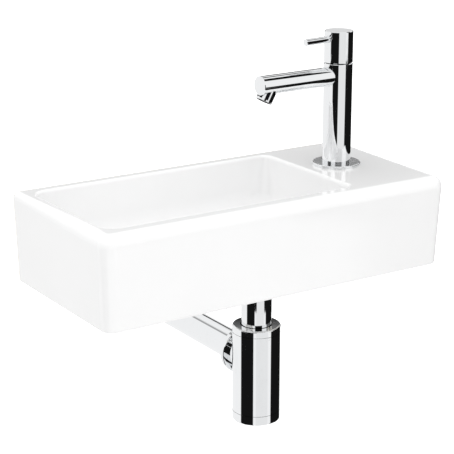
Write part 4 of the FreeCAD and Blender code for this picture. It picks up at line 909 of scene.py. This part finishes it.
def hang_lamp(settings):
    """One large soft lamp before the basin, a little above it and to its left."""
    lamp = bpy.data.lights.new("front_lamp", "AREA")
    lamp.shape = "RECTANGLE"
    lamp.size, lamp.size_y = LAMP_SIZE
    lamp.energy = settings.front_lamp
    body = bpy.data.objects.new("front_lamp", lamp)
    bpy.context.scene.collection.objects.link(body)
    body.location = LAMP_PLACE
    body.rotation_euler = (LAMP_AIM - LAMP_PLACE).to_track_quat("-Z", "Y").to_euler()
    body.visible_glossy = False
    body.visible_camera = False


def set_surroundings(scene, settings):
    """White to the camera, even light on matt surfaces, and light and dark panels in what is polished."""
    world = bpy.data.worlds.new("studio")
    world.use_nodes = True
    scene.world = world
    nodes = Nodes(world.node_tree)
    way = nodes.add("ShaderNodeTexCoord", {}, {}, "Generated")
    x, y, z = nodes.axes(way)
    # Turn is 0 before the basin and 90 to its right. Rise is 0 where level and 90 straight up.
    degrees = 360.0 / FULL_TURN
    turn = x.maths("ARCTAN2", x, y * -1.0) * degrees
    rise = z.maths("ARCSINE", z) * degrees

    def panel(left, right, low, high, edge=PANEL_EDGE, soft=PANEL_SOFT):
        """1 inside a span of turn and rise, both in degrees, and 0 outside it."""
        across = turn.step(left, left + soft) * (1.0 - turn.step(right - soft, right))
        return across * rise.step(low, low + edge) * (1.0 - rise.step(high - edge, high))

    def most(first, *others):
        """The most of several panels."""
        for other in others:
            first = first.highest(other)
        return first

    # Only glossy rays meet the panels. The dark walls give upright pieces their bands down both sides.
    left_side = most(panel(-112.5, -46.0, -62.0, -16.0), panel(-78.0, -31.0, -20.0, -10.8, PANEL_SHARP),
                     panel(-101.0, -31.0, -11.0, 9.0, PANEL_SHARP), panel(-110.0, -77.0, 6.0, 30.0))
    right_side = most(panel(38.0, 120.0, -46.0, -17.0), panel(24.0, 130.0, -20.0, -10.45, PANEL_SHARP),
                      panel(42.0, 130.0, -10.65, 9.0, PANEL_SHARP), panel(46.0, 104.0, 6.0, 22.0))
    # The strips above give the pieces that lie flat their thin dark lines.
    overhead = most(panel(113.0, 129.0, 43.0, 60.0), panel(55.0, 91.0, 40.0, 57.0), panel(130.0, 152.0, 23.5, 34.0))
    behind_camera = panel(-46.0, 11.0, 9.0, 24.0)
    black = most(left_side, right_side, overhead, behind_camera)
    # These take away a part of the light, apart from the back, which takes all of it.
    shelf = panel(176.0, 180.0, 34.0, 45.0).highest(panel(-180.0, -167.0, 34.0, 45.0))
    lid = panel(120.0, 175.0, 7.0, 11.5)
    middle = panel(-38.0, 26.0, -80.0, 9.0, soft=6.0)
    back = panel(110.0, 179.0, 11.0, 22.0)
    dim = (1.0 - middle * MIDDLE_SHADE) * (1.0 - back) * (1.0 - shelf * SHELF_SHADE) * (1.0 - lid * LID_SHADE)
    polished = dim * (1.0 - black * BLACK_SHADE)
    path = nodes.add("ShaderNodeLightPath", {}, {}, "Is Camera Ray").output.node.outputs
    camera_ray, glossy_ray = Socket(nodes, path["Is Camera Ray"]), Socket(nodes, path["Is Glossy Ray"])
    matt = (1.0 - camera_ray) * (1.0 - glossy_ray)
    above = rise.step(10.0, 60.0)
    from_below = (1.0 - above) * (1.0 + x * settings.lean_low) * settings.ambient
    from_above = above * (1.0 - x * settings.lean_high) * settings.sky
    strength = camera_ray + glossy_ray * polished + matt * (from_below + from_above)
    background = nodes.add("ShaderNodeBackground", {}, {"Color": WHITE, "Strength": strength})
    nodes.add("ShaderNodeOutputWorld", {}, {"Surface": background})


def place_camera(scene, settings):
    """The photograph's viewpoint."""
    data = bpy.data.cameras.new("camera")
    data.lens, data.sensor_width, data.sensor_fit = settings.camera_lens, 36.0, "HORIZONTAL"
    data.clip_start, data.clip_end = 0.05, 100.0
    camera = bpy.data.objects.new("camera", data)
    scene.collection.objects.link(camera)
    place, aim = Vector(settings.camera_place), Vector(settings.camera_aim)
    camera.location = place
    camera.rotation_mode = "QUATERNION"
    camera.rotation_quaternion = (aim - place).to_track_quat("-Z", "Y")
    scene.camera = camera


# Panel and registration ---------------------------------------------------------------------------

OPERATORS = (FinishBasin, FinishChrome, FinishValve, FinishSeals, ThreadWallBolts, ChamferFixingNuts,
             ThreadTapShank, ChamferBacknut, ThreadWaste, BuildStudio)


class HandBasinPanel(bpy.types.Panel):
    """Lists the settings and the steps."""

    bl_idname = "VIEW3D_PT_hand_basin"
    bl_label = "Hand basin"
    bl_space_type = "VIEW_3D"
    bl_region_type = "UI"
    bl_category = "Hand basin"

    def draw(self, context):
        for operator in OPERATORS:
            self.layout.operator(operator.bl_idname)
        for name, group in GROUPS.items():
            box = self.layout.box()
            settings = getattr(context.scene, name)
            for setting in group.__annotations__:
                box.prop(settings, setting)


def register():
    for name, group in GROUPS.items():
        bpy.utils.register_class(group)
        setattr(bpy.types.Scene, name, PointerProperty(type=group))
    for shown in OPERATORS + (HandBasinPanel,):
        bpy.utils.register_class(shown)


def unregister():
    for shown in reversed(OPERATORS + (HandBasinPanel,)):
        bpy.utils.unregister_class(shown)
    for name, group in reversed(GROUPS.items()):
        delattr(bpy.types.Scene, name)
        bpy.utils.unregister_class(group)


def main():
    """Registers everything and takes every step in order."""
    register()
    for operator in OPERATORS:
        group, name = operator.bl_idname.split(".")
        getattr(getattr(bpy.ops, group), name)()
    bpy.context.view_layer.update()


if __name__ == "__main__":
    main()
